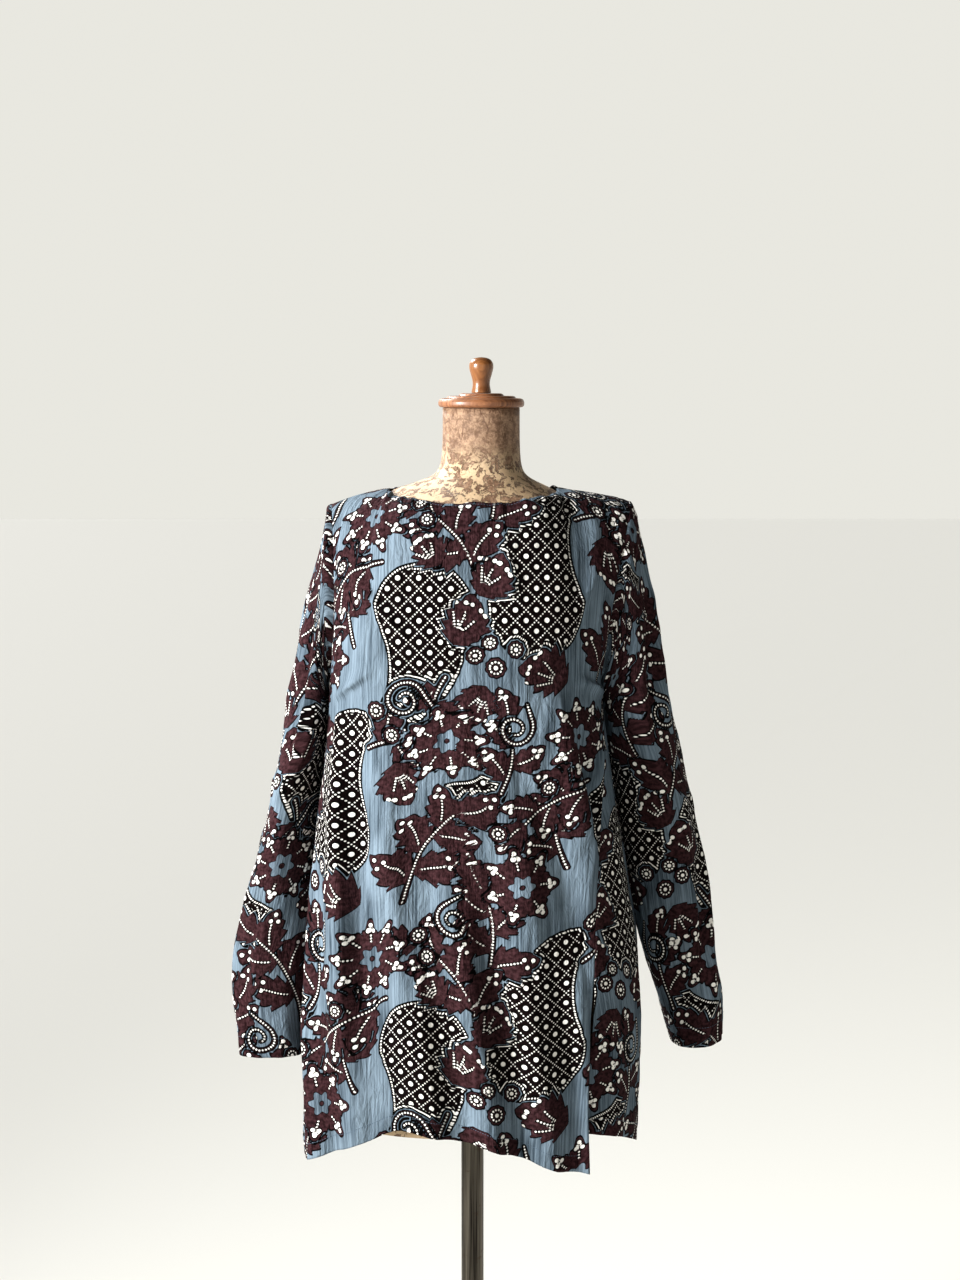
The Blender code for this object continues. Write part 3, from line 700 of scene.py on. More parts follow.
def serrated(
    x: Grid, y: Grid, lean: float, long: float, wide: float, teeth: float
) -> tuple[Grid, Grid, Grid]:
    """A leaf with forward teeth that starts at the origin.

    Args:
        x: places across.
        y: places up.
        lean: direction from upright in radians.
        long: length.
        wide: half width.
        teeth: how many teeth each side has.

    Returns:
        Distance from the leaf's edge, distance from its midrib, and length along the midrib.
    """
    along = x * math.sin(lean) + y * math.cos(lean)
    across = x * math.cos(lean) - y * math.sin(lean)
    share = np.clip(along / long, 0.0, 1.0)
    across = across - 0.09 * long * np.sin(share * math.pi)
    tooth = (share * teeth + np.where(across > 0.0, 0.35, 0.0)) % 1.0
    half = wide * np.sin(math.pi * share ** 0.8) ** 0.75 * (0.74 + 0.42 * tooth)
    beyond = np.maximum(np.maximum(-along, along - long), 0.0)
    away = (np.abs(across) - half) * 0.85
    away = np.where(beyond > 0.0, np.hypot(np.maximum(away, 0.0), beyond), away)
    return away, across, along


@dataclass
class NettedDrop(Motif):
    """A drop with a bent tip, filled with the dotted net and edged with dots."""

    curl: float = 105.0

    def ink(self, field_: PrintField, place: Grid, x: Grid, y: Grid) -> None:
        """Prints the drop with its dotted edge."""
        spine = []
        bend = math.radians(self.curl)
        for step in range(19):
            share = step / 18.0
            swing = bend * share ** 1.15
            spine.append((
                self.size * 0.62 * (1.0 - math.cos(swing)),
                self.size * 0.95 * math.sin(swing),
                self.size * 0.46 * (1.0 - share) ** 0.72 + 1.2,
            ))
        edge, _, run = brush(x, y, spine)
        around = np.where(run <= 0.0, -np.abs(np.arctan2(x, -y)) * self.size * 0.46, run)
        field_.add_net(place, edge, around)


@dataclass
class Bloom(Motif):
    """A flower with pointed petals, a lobed pale eye with a pip, and dotted rays that end in threes."""

    petals: int = 8

    def ink(self, field_: PrintField, place: Grid, x: Grid, y: Grid) -> None:
        """Prints the petals, the eye and the rays."""
        away, angle = np.hypot(x, y), np.arctan2(y, x)
        sector = 2.0 * math.pi / self.petals
        folded = (angle + sector / 2.0) % sector - sector / 2.0
        share = np.abs(folded) / (sector / 2.0)
        nick = 0.05 * np.sin(share * 9.0)
        edge = (away - self.size * (0.66 + 0.40 * (1.0 - share) ** 0.7 * (1.0 - 0.35 * share) + nick)) * 0.8
        field_.add_shape(place, edge)
        eye = away - self.size * (0.28 + 0.06 * np.cos(angle * 6.0))
        eye = np.maximum(eye, self.size * 0.08 - away)
        field_.eye[place] = np.minimum(field_.eye[place], eye)
        inside = (away > self.size * 0.44) & (away < self.size * 0.70)
        field_.add_line(place, np.where(inside, away * np.sin(folded), OFF_LINE), away)
        for petal in range(self.petals):
            middle = petal * sector
            for spread, out in ((0.0, 0.90), (-0.10, 0.76), (0.10, 0.76)):
                across = self.size * out * math.cos(middle + spread)
                up = self.size * out * math.sin(middle + spread)
                field_.add_dot(place, x, y, (across, up, 2.3))


@dataclass
class Rosette(Motif):
    """A small round with a ring of fine dots about one dot."""

    def ink(self, field_: PrintField, place: Grid, x: Grid, y: Grid) -> None:
        """Prints the round, its ring and its middle."""
        away, angle = np.hypot(x, y), np.arctan2(y, x)
        edge = away - self.size * (0.88 + 0.12 * np.abs(np.cos(angle * 4.5)))
        field_.add_shape(place, edge)
        ring = self.size * 0.55
        field_.add_line(place, away - ring, angle * ring)
        field_.add_dot(place, x, y, (0.0, 0.0, 2.2))


@dataclass
class Spray(Motif):
    """A bending stem of serrated leaves with dotted midribs and dots in threes near their tips."""

    bend: float = 40.0
    leaves: int = 5
    leaf_size: float = 0.5

    def stem(self) -> list[tuple[float, float, float]]:
        """Points of the stem with its half width."""
        bend = math.radians(self.bend)
        points = []
        for step in range(11):
            share = step / 10.0
            across = self.size * (1.0 - math.cos(bend * share)) / bend
            points.append((across, self.size * math.sin(bend * share) / bend, 3.4 - 1.4 * share))
        return points

    def ink(self, field_: PrintField, place: Grid, x: Grid, y: Grid) -> None:
        """Prints the stem and the leaves as one shape, then their dots."""
        stem = self.stem()
        bend = math.radians(self.bend)
        shape, middle, run = brush(x, y, stem)
        lines = [(middle, run, shape < 0.5)]
        dots = []
        for leaf in range(self.leaves):
            share = 0.16 + 0.84 * leaf / max(1, self.leaves - 1)
            base_x, base_y, _ = stem[round(share * 10)]
            side = 0.0 if leaf == self.leaves - 1 else (1.0 if leaf % 2 else -1.0)
            lean = bend * share + side * math.radians(60.0 - 16.0 * share)
            long = self.size * (self.leaf_size - 0.12 * share + (0.08 if side == 0.0 else 0.0))
            edge, across, along = serrated(x - base_x, y - base_y, lean, long, 0.34 * long, 4.0)
            shape = np.minimum(shape, edge)
            inside = (along > 0.14 * long) & (along < 0.66 * long)
            lines.append((across, along, inside & (edge < 0.0)))
            for out, off in ((0.86, 0.0), (0.70, -0.085), (0.70, 0.085)):
                across_dot = base_x + long * out * math.sin(lean) + (long * off + 1.5) * math.cos(lean)
                up_dot = base_y + long * out * math.cos(lean) - (long * off + 1.5) * math.sin(lean)
                dots.append((across_dot, up_dot, 2.4))
        field_.add_shape(place, shape)
        for away, along, inside in lines:
            field_.add_line(place, np.where(inside, away, OFF_LINE), along)
        for dot in dots:
            field_.add_dot(place, x, y, dot)


@dataclass
class Bud(Motif):
    """A broad serrated bud with dotted lines that fan out from its foot."""

    def ink(self, field_: PrintField, place: Grid, x: Grid, y: Grid) -> None:
        """Prints the bud and its fan."""
        edge, _, _ = serrated(x, y + self.size * 0.5, 0.0, self.size, self.size * 0.42, 5.0)
        field_.add_shape(place, edge)
        foot = self.size * 0.36
        away = np.hypot(x, y + foot)
        fan = math.radians(26.0)
        angle = np.arctan2(x, y + foot)
        folded = (angle + fan / 2.0) % fan - fan / 2.0
        inside = (away > self.size * 0.14) & (away < self.size * 0.50) & (np.abs(angle) < fan * 1.5)
        field_.add_line(place, np.where(inside, away * np.sin(folded), OFF_LINE), away)
        for turn in (-fan, 0.0, fan):
            for spread, out in ((-0.09, 0.66), (0.09, 0.66)):
                reach = self.size * out
                across = reach * math.sin(turn + spread)
                field_.add_dot(place, x, y, (across, reach * math.cos(turn + spread) - foot, 2.3))


@dataclass
class Scroll(Motif):
    """A stem that winds into a curl, with a dotted line down its middle."""

    winds: float = 1.35

    def ink(self, field_: PrintField, place: Grid, x: Grid, y: Grid) -> None:
        """Prints the winding stem and its end dot."""
        spine = [(self.size * 0.50, -self.size * 0.50, 2.2)]
        for step in range(23):
            share = step / 22.0
            angle = 2.0 * math.pi * self.winds * share
            radius = self.size * 0.46 * (1.0 - 0.74 * share)
            spine.append((radius * math.cos(angle), radius * math.sin(angle), 3.4 - 1.4 * share))
        edge, middle, run = brush(x, y, spine)
        field_.add_shape(place, edge)
        field_.add_line(place, np.where(edge < 0.5, middle, OFF_LINE), run)
        field_.add_dot(place, x, y, (0.0, 0.0, 3.0))


@dataclass
class BatikPrint:
    """A wax print of netted drops, flowers and dotted sprays: its repeat and motifs, in millimetres."""

    width: float = 236.0
    height: float = 500.0
    motifs: Sequence[Motif] = (
        NettedDrop(58, 92, 10, 118),
        NettedDrop(172, 340, 192, 112),
        NettedDrop(212, 112, -62, 62, True),
        Spray(150, 2, -6, 118, False, 48, 6, 0.54),
        Spray(2, 166, -22, 104, True, 44, 5, 0.56),
        Spray(232, 372, 14, 106, True, 50, 6, 0.54),
        Spray(92, 300, 26, 96, False, 42, 5, 0.56),
        Spray(128, 392, 96, 92, False, -40, 5, 0.56),
        Spray(110, 190, -62, 84, False, 50, 4, 0.60),
        Spray(20, 388, -22, 80, False, -34, 4, 0.60),
        Spray(196, 268, 150, 76, True, 36, 4, 0.60),
        Bud(66, 20, 70, 62),
        Bud(214, 330, -20, 58),
        Bud(150, 150, 200, 54),
        Bud(232, 236, 160, 50),
        Bud(8, 128, -30, 52),
        Bud(176, 404, 40, 44),
        Scroll(152, 244, 30, 48),
        Scroll(34, 462, 200, 44, True),
        Scroll(204, 482, 120, 42),
        Bloom(196, 190, 10, 44, False, 8),
        Bloom(40, 284, 0, 42, False, 7),
        Bloom(112, 446, 14, 44, False, 9),
        Rosette(14, 30, 0, 11),
        Rosette(34, 50, 0, 9.5),
        Rosette(6, 56, 0, 9),
        Rosette(122, 232, 0, 10.5),
        Rosette(138, 206, 0, 9.5),
        Rosette(228, 292, 0, 10.5),
        Rosette(16, 342, 0, 10.5),
        Rosette(168, 462, 0, 10),
        Rosette(176, 438, 0, 9.5),
        Rosette(72, 392, 0, 10),
    )

    def over(self, cut: Grid) -> PrintField:
        """Distances of the print over places on a cut.

        Args:
            cut: N by 2 places in metres.

        Returns:
            The print's distances there.
        """
        x, y = cut[:, 0] / MM, cut[:, 1] / MM
        x = x + 1.1 * np.sin(y / 23.0 + 1.3) + 0.7 * np.sin(x / 11.0 + y / 17.0)
        y = y + 1.1 * np.sin(x / 19.0) + 0.7 * np.sin(x / 9.0 - y / 13.0 + 0.8)
        column = np.floor(x / self.width)
        x = x - column * self.width
        y = (y + column * self.height / 2.0) % self.height
        field_ = PrintField.empty(len(x))
        shifts = [(0.0, 0.0), (0.0, 1.0), (0.0, -1.0)]
        shifts += [(way, up) for way in (-1.0, 1.0) for up in (-1.5, -0.5, 0.5, 1.5)]
        for motif in self.motifs:
            for way, up in shifts:
                away_x = x - motif.x - way * self.width
                away_y = y - motif.y - up * self.height
                motif.draw(field_, away_x, away_y)
        field_.net = np.maximum(field_.net, HALO - field_.motif)
        return field_


def add_print(obj: bpy.types.Object, print_: PrintField) -> None:
    """Stores the print's distances on a piece's points for its finish to read."""
    spare = np.zeros(len(print_.motif))
    fields = {
        "print_shapes": np.stack((print_.motif, print_.net, print_.eye), axis=1),
        "print_line": np.stack((print_.line, print_.run, np.abs(print_.line)), axis=1),
        "print_round": np.stack((print_.round_net, spare, spare), axis=1),
        "print_dot": print_.dot,
    }
    for name, values in fields.items():
        attribute = obj.data.attributes.new(name, "FLOAT_VECTOR", "POINT")
        attribute.data.foreach_set("vector", np.ascontiguousarray(values, np.float32).ravel())


@dataclass(frozen=True)
class Finish:
    """A real surface. Each kind says what it gives the shader, through what it draws in the node tree."""

    name: str

    def make(self) -> Material:
        """Builds the finish."""
        material = bpy.data.materials.new(self.name)
        material.use_nodes = True
        tree = material.node_tree
        set_inputs(tree, tree.nodes["Principled BSDF"], self.inputs(tree))
        return material

    def inputs(self, tree: Tree) -> dict[Any, Any]:
        """What the shader takes, by the name of its input."""
        raise NotImplementedError

    def over(self, tree: Tree, under: Any, mask: Any, colour: Any) -> Any:
        """Lays a colour over another where a mask is 1."""
        return add_node(tree, "Mix", {0: mask, 6: under, 7: colour}, data_type="RGBA")

    def times(self, tree: Tree, *masks: Any) -> Any:
        """Product of masks."""
        result = masks[0]
        for mask in masks[1:]:
            result = add_node(tree, "Math", {0: result, 1: mask}, operation="MULTIPLY")
        return result

    def stretched(self, tree: Tree, place: Any, scale: Sequence[float], **inputs: float) -> Any:
        """Noise that has its own scale along each axis."""
        moved = add_node(tree, "Mapping", {"Vector": place, "Scale": scale})
        return add_node(tree, "TexNoise", {"Vector": moved, "Scale": 1.0, **inputs})

    def near(self, tree: Tree, value: Any, level: float, far: float, close: float, most: float) -> Any:
        """Mask that grows to its most where a value nears a level."""
        away = add_node(tree, "Math", {0: value, 1: level}, operation="SUBTRACT")
        away = add_node(tree, "Math", {0: away}, operation="ABSOLUTE")
        return add_node(tree, "MapRange", {"Value": away, "From Min": far, "From Max": close, "To Max": most})

    def relief(self, tree: Tree, *layers: tuple[Any, float, float]) -> Any:
        """Normal of layered relief: the height, strength and depth in metres of each layer."""
        under: dict[Any, Any] = {}
        for height, strength, depth in layers:
            bump = {"Height": height, "Strength": strength, "Distance": depth, **under}
            under = {"Normal": add_node(tree, "Bump", bump)}
        return under["Normal"]


@dataclass(frozen=True)
class PrintedCotton(Finish):
    """Light plain-woven cotton with uneven threads, wax printed: dull, soft, with a slight crinkle."""

    name: str = "printed_cotton"
    # The pale tone of the ground is also a painted highlight on the crinkle; the deep tone is deep dye and painted
    # shade.
    ground: str = "#7B8A96"
    ground_deep_dye_and_shade: str = "#36414A"
    motif: str = "#452E31"
    motif_deep: str = "#2A1A1C"
    outline: str = "#040303"
    net: str = "#130B0B"
    bare: str = "#F8F5EF"
    reverse: str = "#8894A0"
    # How far apart dots lie in millimetres: in the net, and along an edge or a line.
    net_pitch: float = 3.2
    dotted_pitch: float = 3.5

    def stored(self, tree: Tree, name: str) -> Any:
        """Parts of one of the piece's stored distances."""
        vector = add_node(tree, "Attribute", attribute_name=name).outputs["Vector"]
        return add_node(tree, "SeparateXYZ", {0: vector}).outputs

    def inside(self, tree: Tree, distance: Any, edge: float, soft: float = 0.32) -> Any:
        """Mask that is 1 where a distance is under an edge, in millimetres."""
        return add_node(tree, "MapRange", {"Value": distance, "From Min": edge + soft, "From Max": edge - soft})

    def nearest(self, tree: Tree, value: Any, pitch: float, shift: float = 0.0) -> Any:
        """Signed distance from the nearest multiple of a pitch, shifted."""
        moved = add_node(tree, "Math", {0: value, 1: shift + pitch / 2.0}, operation="ADD")
        share = add_node(tree, "Math", {0: moved, 1: pitch, 2: 0.0}, operation="WRAP")
        return add_node(tree, "Math", {0: share, 1: pitch / 2.0}, operation="SUBTRACT")

    def length(self, tree: Tree, first: Any, second: Any) -> Any:
        """Length of a pair of distances."""
        joined = add_node(tree, "CombineXYZ", {0: first, 1: second})
        return add_node(tree, "VectorMath", {0: joined}, operation="LENGTH").outputs["Value"]

    def lattice(self, tree: Tree, cut: Any) -> tuple[Any, Any]:
        """The net's dots and their dark rims: fine dots along diagonals, a large one in each diamond."""
        x, y, _ = add_node(tree, "SeparateXYZ", {0: cut}).outputs
        ways = []
        for operation in ("ADD", "SUBTRACT"):
            way = add_node(tree, "Math", {0: x, 1: y}, operation=operation)
            ways.append(self.times(tree, way, 1.0 / (MM * math.sqrt(2.0))))
        side = 5.0 * self.net_pitch
        fine = [self.nearest(tree, way, self.net_pitch) for way in ways]
        middle = [self.nearest(tree, way, side, side / 2.0) for way in ways]
        on_line = []
        for way in ways:
            away = add_node(tree, "Math", {0: self.nearest(tree, way, side)}, operation="ABSOLUTE")
            on_line.append(self.inside(tree, away, 1.6))
        either = add_node(tree, "Math", {0: on_line[0], 1: on_line[1]}, operation="MAXIMUM")
        small = self.times(tree, self.inside(tree, self.length(tree, *fine), 0.8), either)
        from_middle = self.length(tree, *middle)
        large, rim = self.inside(tree, from_middle, 2.7), self.inside(tree, from_middle, 4.4)
        dots = add_node(tree, "Math", {0: small, 1: large}, operation="MAXIMUM")
        return dots, add_node(tree, "Math", {0: either, 1: rim}, operation="MAXIMUM")

    def ground_colour(self, tree: Tree, cut: Any) -> Any:
        """Blue ground, streaked along the grain where threads thicken and unevenly faded, partly real and partly
        painted light: the pale streaks paint highlights on the crinkle and the dark blotches paint broad shade.
        """
        # Streaks where threads thicken, which also paint the crinkle's highlights.
        streaks = self.stretched(tree, cut, (520.0, 9.0, 1.0), Detail=3.0)
        # Broad blotches of uneven fading, which also stand in for broad painted shade.
        fade = self.stretched(tree, cut, (26.0, 12.0, 1.0), Detail=2.0)
        mixed = add_node(tree, "Math", {0: streaks, 1: 1.3, 2: fade}, operation="MULTIPLY_ADD")
        share = add_node(tree, "MapRange", {"Value": mixed, "From Min": 0.78, "From Max": 1.36})
        return self.over(tree, linear(self.ground_deep_dye_and_shade), share, linear(self.ground))

    def cloth_relief(self, tree: Tree, cut: Any) -> Any:
        """Normal of the cloth: crinkle, thick threads and weave.

        The real threads lie 0.3 mm apart, too fine to show, so the weave is drawn at 0.9 mm.
        """
        crinkle = self.stretched(tree, cut, (120.0, 34.0, 1.0), Detail=4.0, Roughness=0.6, Distortion=0.6)
        slub = self.stretched(tree, cut, (620.0, 12.0, 1.0), Detail=2.0)
        place = add_node(tree, "Mapping", {"Vector": cut, "Scale": (1111.0, 1111.0, 1.0)})
        weave = add_node(tree, "TexVoronoi", {"Vector": place, "Scale": 1.0, "Randomness": 0.45})
        return self.relief(tree, (crinkle, 0.9, 0.0042), (slub, 0.6, 0.0009), (weave, 0.3, 0.0003))

    def print_colour(self, tree: Tree, cut: Any) -> Any:
        """The print on its ground, laid from the netted shapes up to the flowers' eyes."""
        shapes, line = self.stored(tree, "print_shapes"), self.stored(tree, "print_line")
        round_net, dot = self.stored(tree, "print_round")[0], self.stored(tree, "print_dot")
        bleed = self.stretched(tree, cut, (240.0, 240.0, 1.0), Detail=3.0)
        motif, net = (
            add_node(tree, "Math", {0: bleed, 1: 1.4, 2: shapes[part]}, operation="MULTIPLY_ADD") for part in (0, 1)
        )
        ground, bare, outline = self.ground_colour(tree, cut), linear(self.bare), linear(self.outline)
        faded = add_node(tree, "MapRange", {"Value": bleed, "From Min": 0.38, "From Max": 0.62})
        brown = self.over(tree, linear(self.motif_deep), faded, linear(self.motif))
        dots, dark = self.lattice(tree, cut)
        within, inner = self.inside(tree, net, -0.4), self.inside(tree, motif, 0.4)
        edge = add_node(tree, "Math", {0: shapes[1], 1: 2.2}, operation="ADD")
        edging = self.length(tree, self.nearest(tree, round_net, self.dotted_pitch), edge)
        on_line = self.length(tree, self.nearest(tree, line[1], self.dotted_pitch), line[0])
        on_dot = self.length(tree, dot[0], dot[1])
        layers = (
            # The netted shapes: black edge, brown cells, black rims, then the bare dots and the dotted edge.
            (outline, self.inside(tree, net, 1.4)),
            (linear(self.net), within),
            (outline, dark, within),
            (bare, dots, self.inside(tree, net, -4.4)),
            (bare, self.inside(tree, edging, 1.02), self.inside(tree, net, 0.2)),
            # The brown motifs: black edge, mottled brown, dotted lines and dots with black rims.
            (outline, self.inside(tree, motif, 1.4)),
            (brown, self.inside(tree, motif, 0.0)),
            (outline, self.inside(tree, line[2], 2.1), inner),
            (outline, self.inside(tree, dot[2], 1.6, 0.12), inner),
            (bare, self.inside(tree, on_line, 1.06), self.inside(tree, line[2], 2.4), self.inside(tree, motif, -0.2)),
            (bare, self.inside(tree, on_dot, 1.0, 0.12), self.inside(tree, dot[2], 1.3, 0.14), inner),
            # The flowers' eyes: a black rim round the ground.
            (outline, self.inside(tree, shapes[2], 0.9)),
            (ground, self.inside(tree, shapes[2], 0.0)),
        )
        colour = ground
        for ink, *masks in layers:
            colour = self.over(tree, colour, self.times(tree, *masks), ink)
        return colour

    def inputs(self, tree: Tree) -> dict[Any, Any]:
        """The print, which shows paler on the reverse, and the cloth's relief."""
        cut = add_node(tree, "UVMap", uv_map="Cut").outputs[0]
        paler = self.times(tree, add_node(tree, "NewGeometry").outputs["Backfacing"], 0.5)
        return {
            "Base Color": self.over(tree, self.print_colour(tree, cut), paler, linear(self.reverse)),
            "Normal": self.cloth_relief(tree, cut),
            "Roughness": 0.84,
            "Specular IOR Level": 0.03,
            "Sheen Weight": 0.01,
            "Sheen Roughness": 0.45,
        }


@dataclass(frozen=True)
class SewingThread(Finish):
    """Spun cotton thread in the ground's blue: dull, slightly fuzzy."""

    name: str = "spun_cotton_thread"
    light: str = "#5C6E80"
    dark: str = "#42515F"

    def inputs(self, tree: Tree) -> dict[Any, Any]:
        """Two plies that twist every 0.8 mm."""
        place = add_node(tree, "TexCoord").outputs["Object"]
        twist = add_node(tree, "TexNoise", {"Vector": place, "Scale": 1200.0, "Detail": 1.0})
        return {
            "Base Color": self.over(tree, linear(self.dark), twist, linear(self.light)),
            "Normal": self.relief(tree, (twist, 0.3, 0.0002)),
            "Roughness": 0.75,
        }


@dataclass(frozen=True)
class PapierMache(Finish):
    """Layered paper and glue, size-coated and old: tan, mottled with brown stains, cracked, faintly glossy."""

    name: str = "sized_papier_mache"
    light: str = "#B09176"
    middle: str = "#775A44"
    stain: str = "#5B3C29"
    flake: str = "#D9BE9A"
    crack: str = "#3E2818"

    def inputs(self, tree: Tree) -> dict[Any, Any]:
        """Mottling all over, drips under the cap, and a flaked coat round the foot of the neck."""
        place = add_node(tree, "TexCoord").outputs["Object"]
        height = add_node(tree, "SeparateXYZ", {0: place}).outputs[2]
        # Colour, its most, where its noise starts and is full, then the noise's scale, detail, roughness and bend.
        mottling = (
            (self.light, 1.0, 0.42, 0.60, 150.0, 8.0, 0.8, 0.3),
            # Damp stains a centimetre or two across, with hard edges, then fine dark specks.
            (self.stain, 0.5, 0.54, 0.64, 48.0, 8.0, 0.66, 0.5),
            (self.crack, 0.45, 0.63, 0.70, 420.0, 3.0, 0.5, 0.0),
        )
        colour: Any = linear(self.middle)
        noises = []
        for ink, most, start, full, scale, detail, rough, bend in mottling:
            values = {"Vector": place, "Scale": scale, "Detail": detail, "Roughness": rough, "Distortion": bend}
            noises.append(add_node(tree, "TexNoise", values))
            values = {"Value": noises[-1], "From Min": start, "From Max": full, "To Max": most}
            colour = self.over(tree, colour, add_node(tree, "MapRange", values), linear(ink))
        patches, stains, _ = noises
        # Damp has run down from under the cap in drips with a dark outline.
        drips = self.stretched(tree, place, (75.0, 75.0, 11.0), Detail=4.0, Distortion=0.4)
        values = {"Value": height, "From Min": 1.436, "From Max": 1.480, "To Min": -0.20, "To Max": 0.12}
        wet = add_node(tree, "Math", {0: drips, 1: add_node(tree, "MapRange", values)}, operation="ADD")
        colour = self.over(tree, colour, self.near(tree, wet, 0.57, 0.016, 0.005, 0.75), linear(self.stain))
        # The coat has flaked round the foot of the neck: pale islands with dark ragged edges.
        values = {"Vector": place, "Scale": 110.0, "Detail": 9.0, "Roughness": 0.7, "Distortion": 0.4}
        flakes = add_node(tree, "TexNoise", values)
        low = add_node(tree, "MapRange", {"Value": height, "From Min": 1.445, "From Max": 1.415})
        island = add_node(tree, "MapRange", {"Value": flakes, "From Min": 0.46, "From Max": 0.49})
        flaked = self.times(tree, island, low)
        colour = self.over(tree, colour, self.times(tree, flaked, 0.8), linear(self.flake))
        ragged = self.times(tree, self.near(tree, flakes, 0.475, 0.02, 0.006, 0.85), low)
        values = {"Value": stains, "From Min": 0.3, "From Max": 0.7, "To Min": 0.66, "To Max": 0.46}
        return {
            "Base Color": self.over(tree, colour, ragged, linear(self.crack)),
            "Roughness": add_node(tree, "MapRange", values),
            "Normal": self.relief(tree, (patches, 0.6, 0.003), (flaked, 0.9, 0.0009)),
        }


@dataclass(frozen=True)
class TurnedWood(Finish):
    """Lathe-turned hardwood, stained and lacquered: rings and streaks of grain under a soft gloss."""

    light: str
    dark: str
    roughness: float
    coat: float
    stretch: float

    def inputs(self, tree: Tree) -> dict[Any, Any]:
        """Grain lines about 1.5 mm apart, and uneven wear."""
        place = add_node(tree, "TexCoord").outputs["Object"]
        scale = (60.0, 700.0, 60.0 * self.stretch)
        grain = self.stretched(tree, place, scale, Detail=6.0, Roughness=0.6, Distortion=0.5)
        share = add_node(tree, "MapRange", {"Value": grain, "From Min": 0.35, "From Max": 0.65})
        wear = add_node(tree, "TexNoise", {"Vector": place, "Scale": 90.0, "Detail": 4.0})
        rough = {"Value": wear, "To Min": self.roughness - 0.12, "To Max": self.roughness + 0.16}
        return {
            "Base Color": self.over(tree, linear(self.dark), share, linear(self.light)),
            "Roughness": add_node(tree, "MapRange", rough),
            "Normal": self.relief(tree, (grain, 0.25, 0.0004)),
            "Coat Weight": self.coat,
            "Coat Roughness": 0.18,
        }


@dataclass(frozen=True)
class AgedMetal(Finish):
    """Bare ferrous metal, worn and lightly rusted: drawn steel has fine streaks, cast iron a grainy skin."""

    bright: str
    dark: str
    rust: str
    roughness: float
    metallic: float
    along: float
    around: float

    def inputs(self, tree: Tree) -> dict[Any, Any]:
        """Streaks from the drawing or the casting, and spots of rust."""
        place = add_node(tree, "TexCoord").outputs["Object"]
        scale = (self.around, self.around, self.along)
        streaks = self.stretched(tree, place, scale, Detail=5.0, Roughness=0.6)
        share = add_node(tree, "MapRange", {"Value": streaks, "From Min": 0.36, "From Max": 0.64})
        colour = self.over(tree, linear(self.dark), share, linear(self.bright))
        spots = add_node(tree, "TexNoise", {"Vector": place, "Scale": 70.0, "Detail": 7.0, "Roughness": 0.65})
        spotted = add_node(tree, "MapRange", {"Value": spots, "From Min": 0.60, "From Max": 0.70, "To Max": 0.6})
        rough = {"Value": streaks, "To Min": self.roughness - 0.1, "To Max": self.roughness + 0.2}
        return {
            "Base Color": self.over(tree, colour, spotted, linear(self.rust)),
            "Roughness": add_node(tree, "MapRange", rough),
            "Normal": self.relief(tree, (spots, 0.3, 0.0005)),
            "Metallic": self.metallic,
        }


@dataclass(frozen=True)
class StudioPaint(Finish):
    """Matt off-white emulsion, rolled: flat, with the roller's faint stipple."""

    name: str = "matt_emulsion"
    colour: str = "#E6E5DF"

    def inputs(self, tree: Tree) -> dict[Any, Any]:
        """An even colour and the stipple."""
        place = add_node(tree, "TexCoord").outputs["Object"]
        stipple = add_node(tree, "TexNoise", {"Vector": place, "Scale": 300.0, "Detail": 2.0})
        return {
            "Normal": self.relief(tree, (stipple, 0.1, 0.0005)),
            "Base Color": linear(self.colour),
            "Roughness": 0.9,
            "Specular IOR Level": 0.2,
        }


def ripple(cut: Grid, seed: int, across: float, along: float) -> Grid:
    """Smooth uneven waves over a cut, between -1 and 1.

    Args:
        cut: places in metres.
        seed: start of the random numbers.
        across: size of a wave across the grain in millimetres.
        along: size of a wave along the grain in millimetres.

    Returns:
        The waves' height at each place.
    """
    side = 96
    heights = np.random.default_rng(seed).uniform(-1.0, 1.0, (side, side))
    x, y = cut[..., 0] / (across * MM) + 31.0, cut[..., 1] / (along * MM) + 37.0
    column, row = np.floor(x).astype(int), np.floor(y).astype(int)
    share_x, share_y = eased(x - column), eased(y - row)
    low = heights[row % side, column % side] * (1 - share_x) + heights[row % side, (column + 1) % side] * share_x
    high = heights[(row + 1) % side, column % side] * (1 - share_x)
    high = high + heights[(row + 1) % side, (column + 1) % side] * share_x
    return low * (1 - share_y) + high * share_y


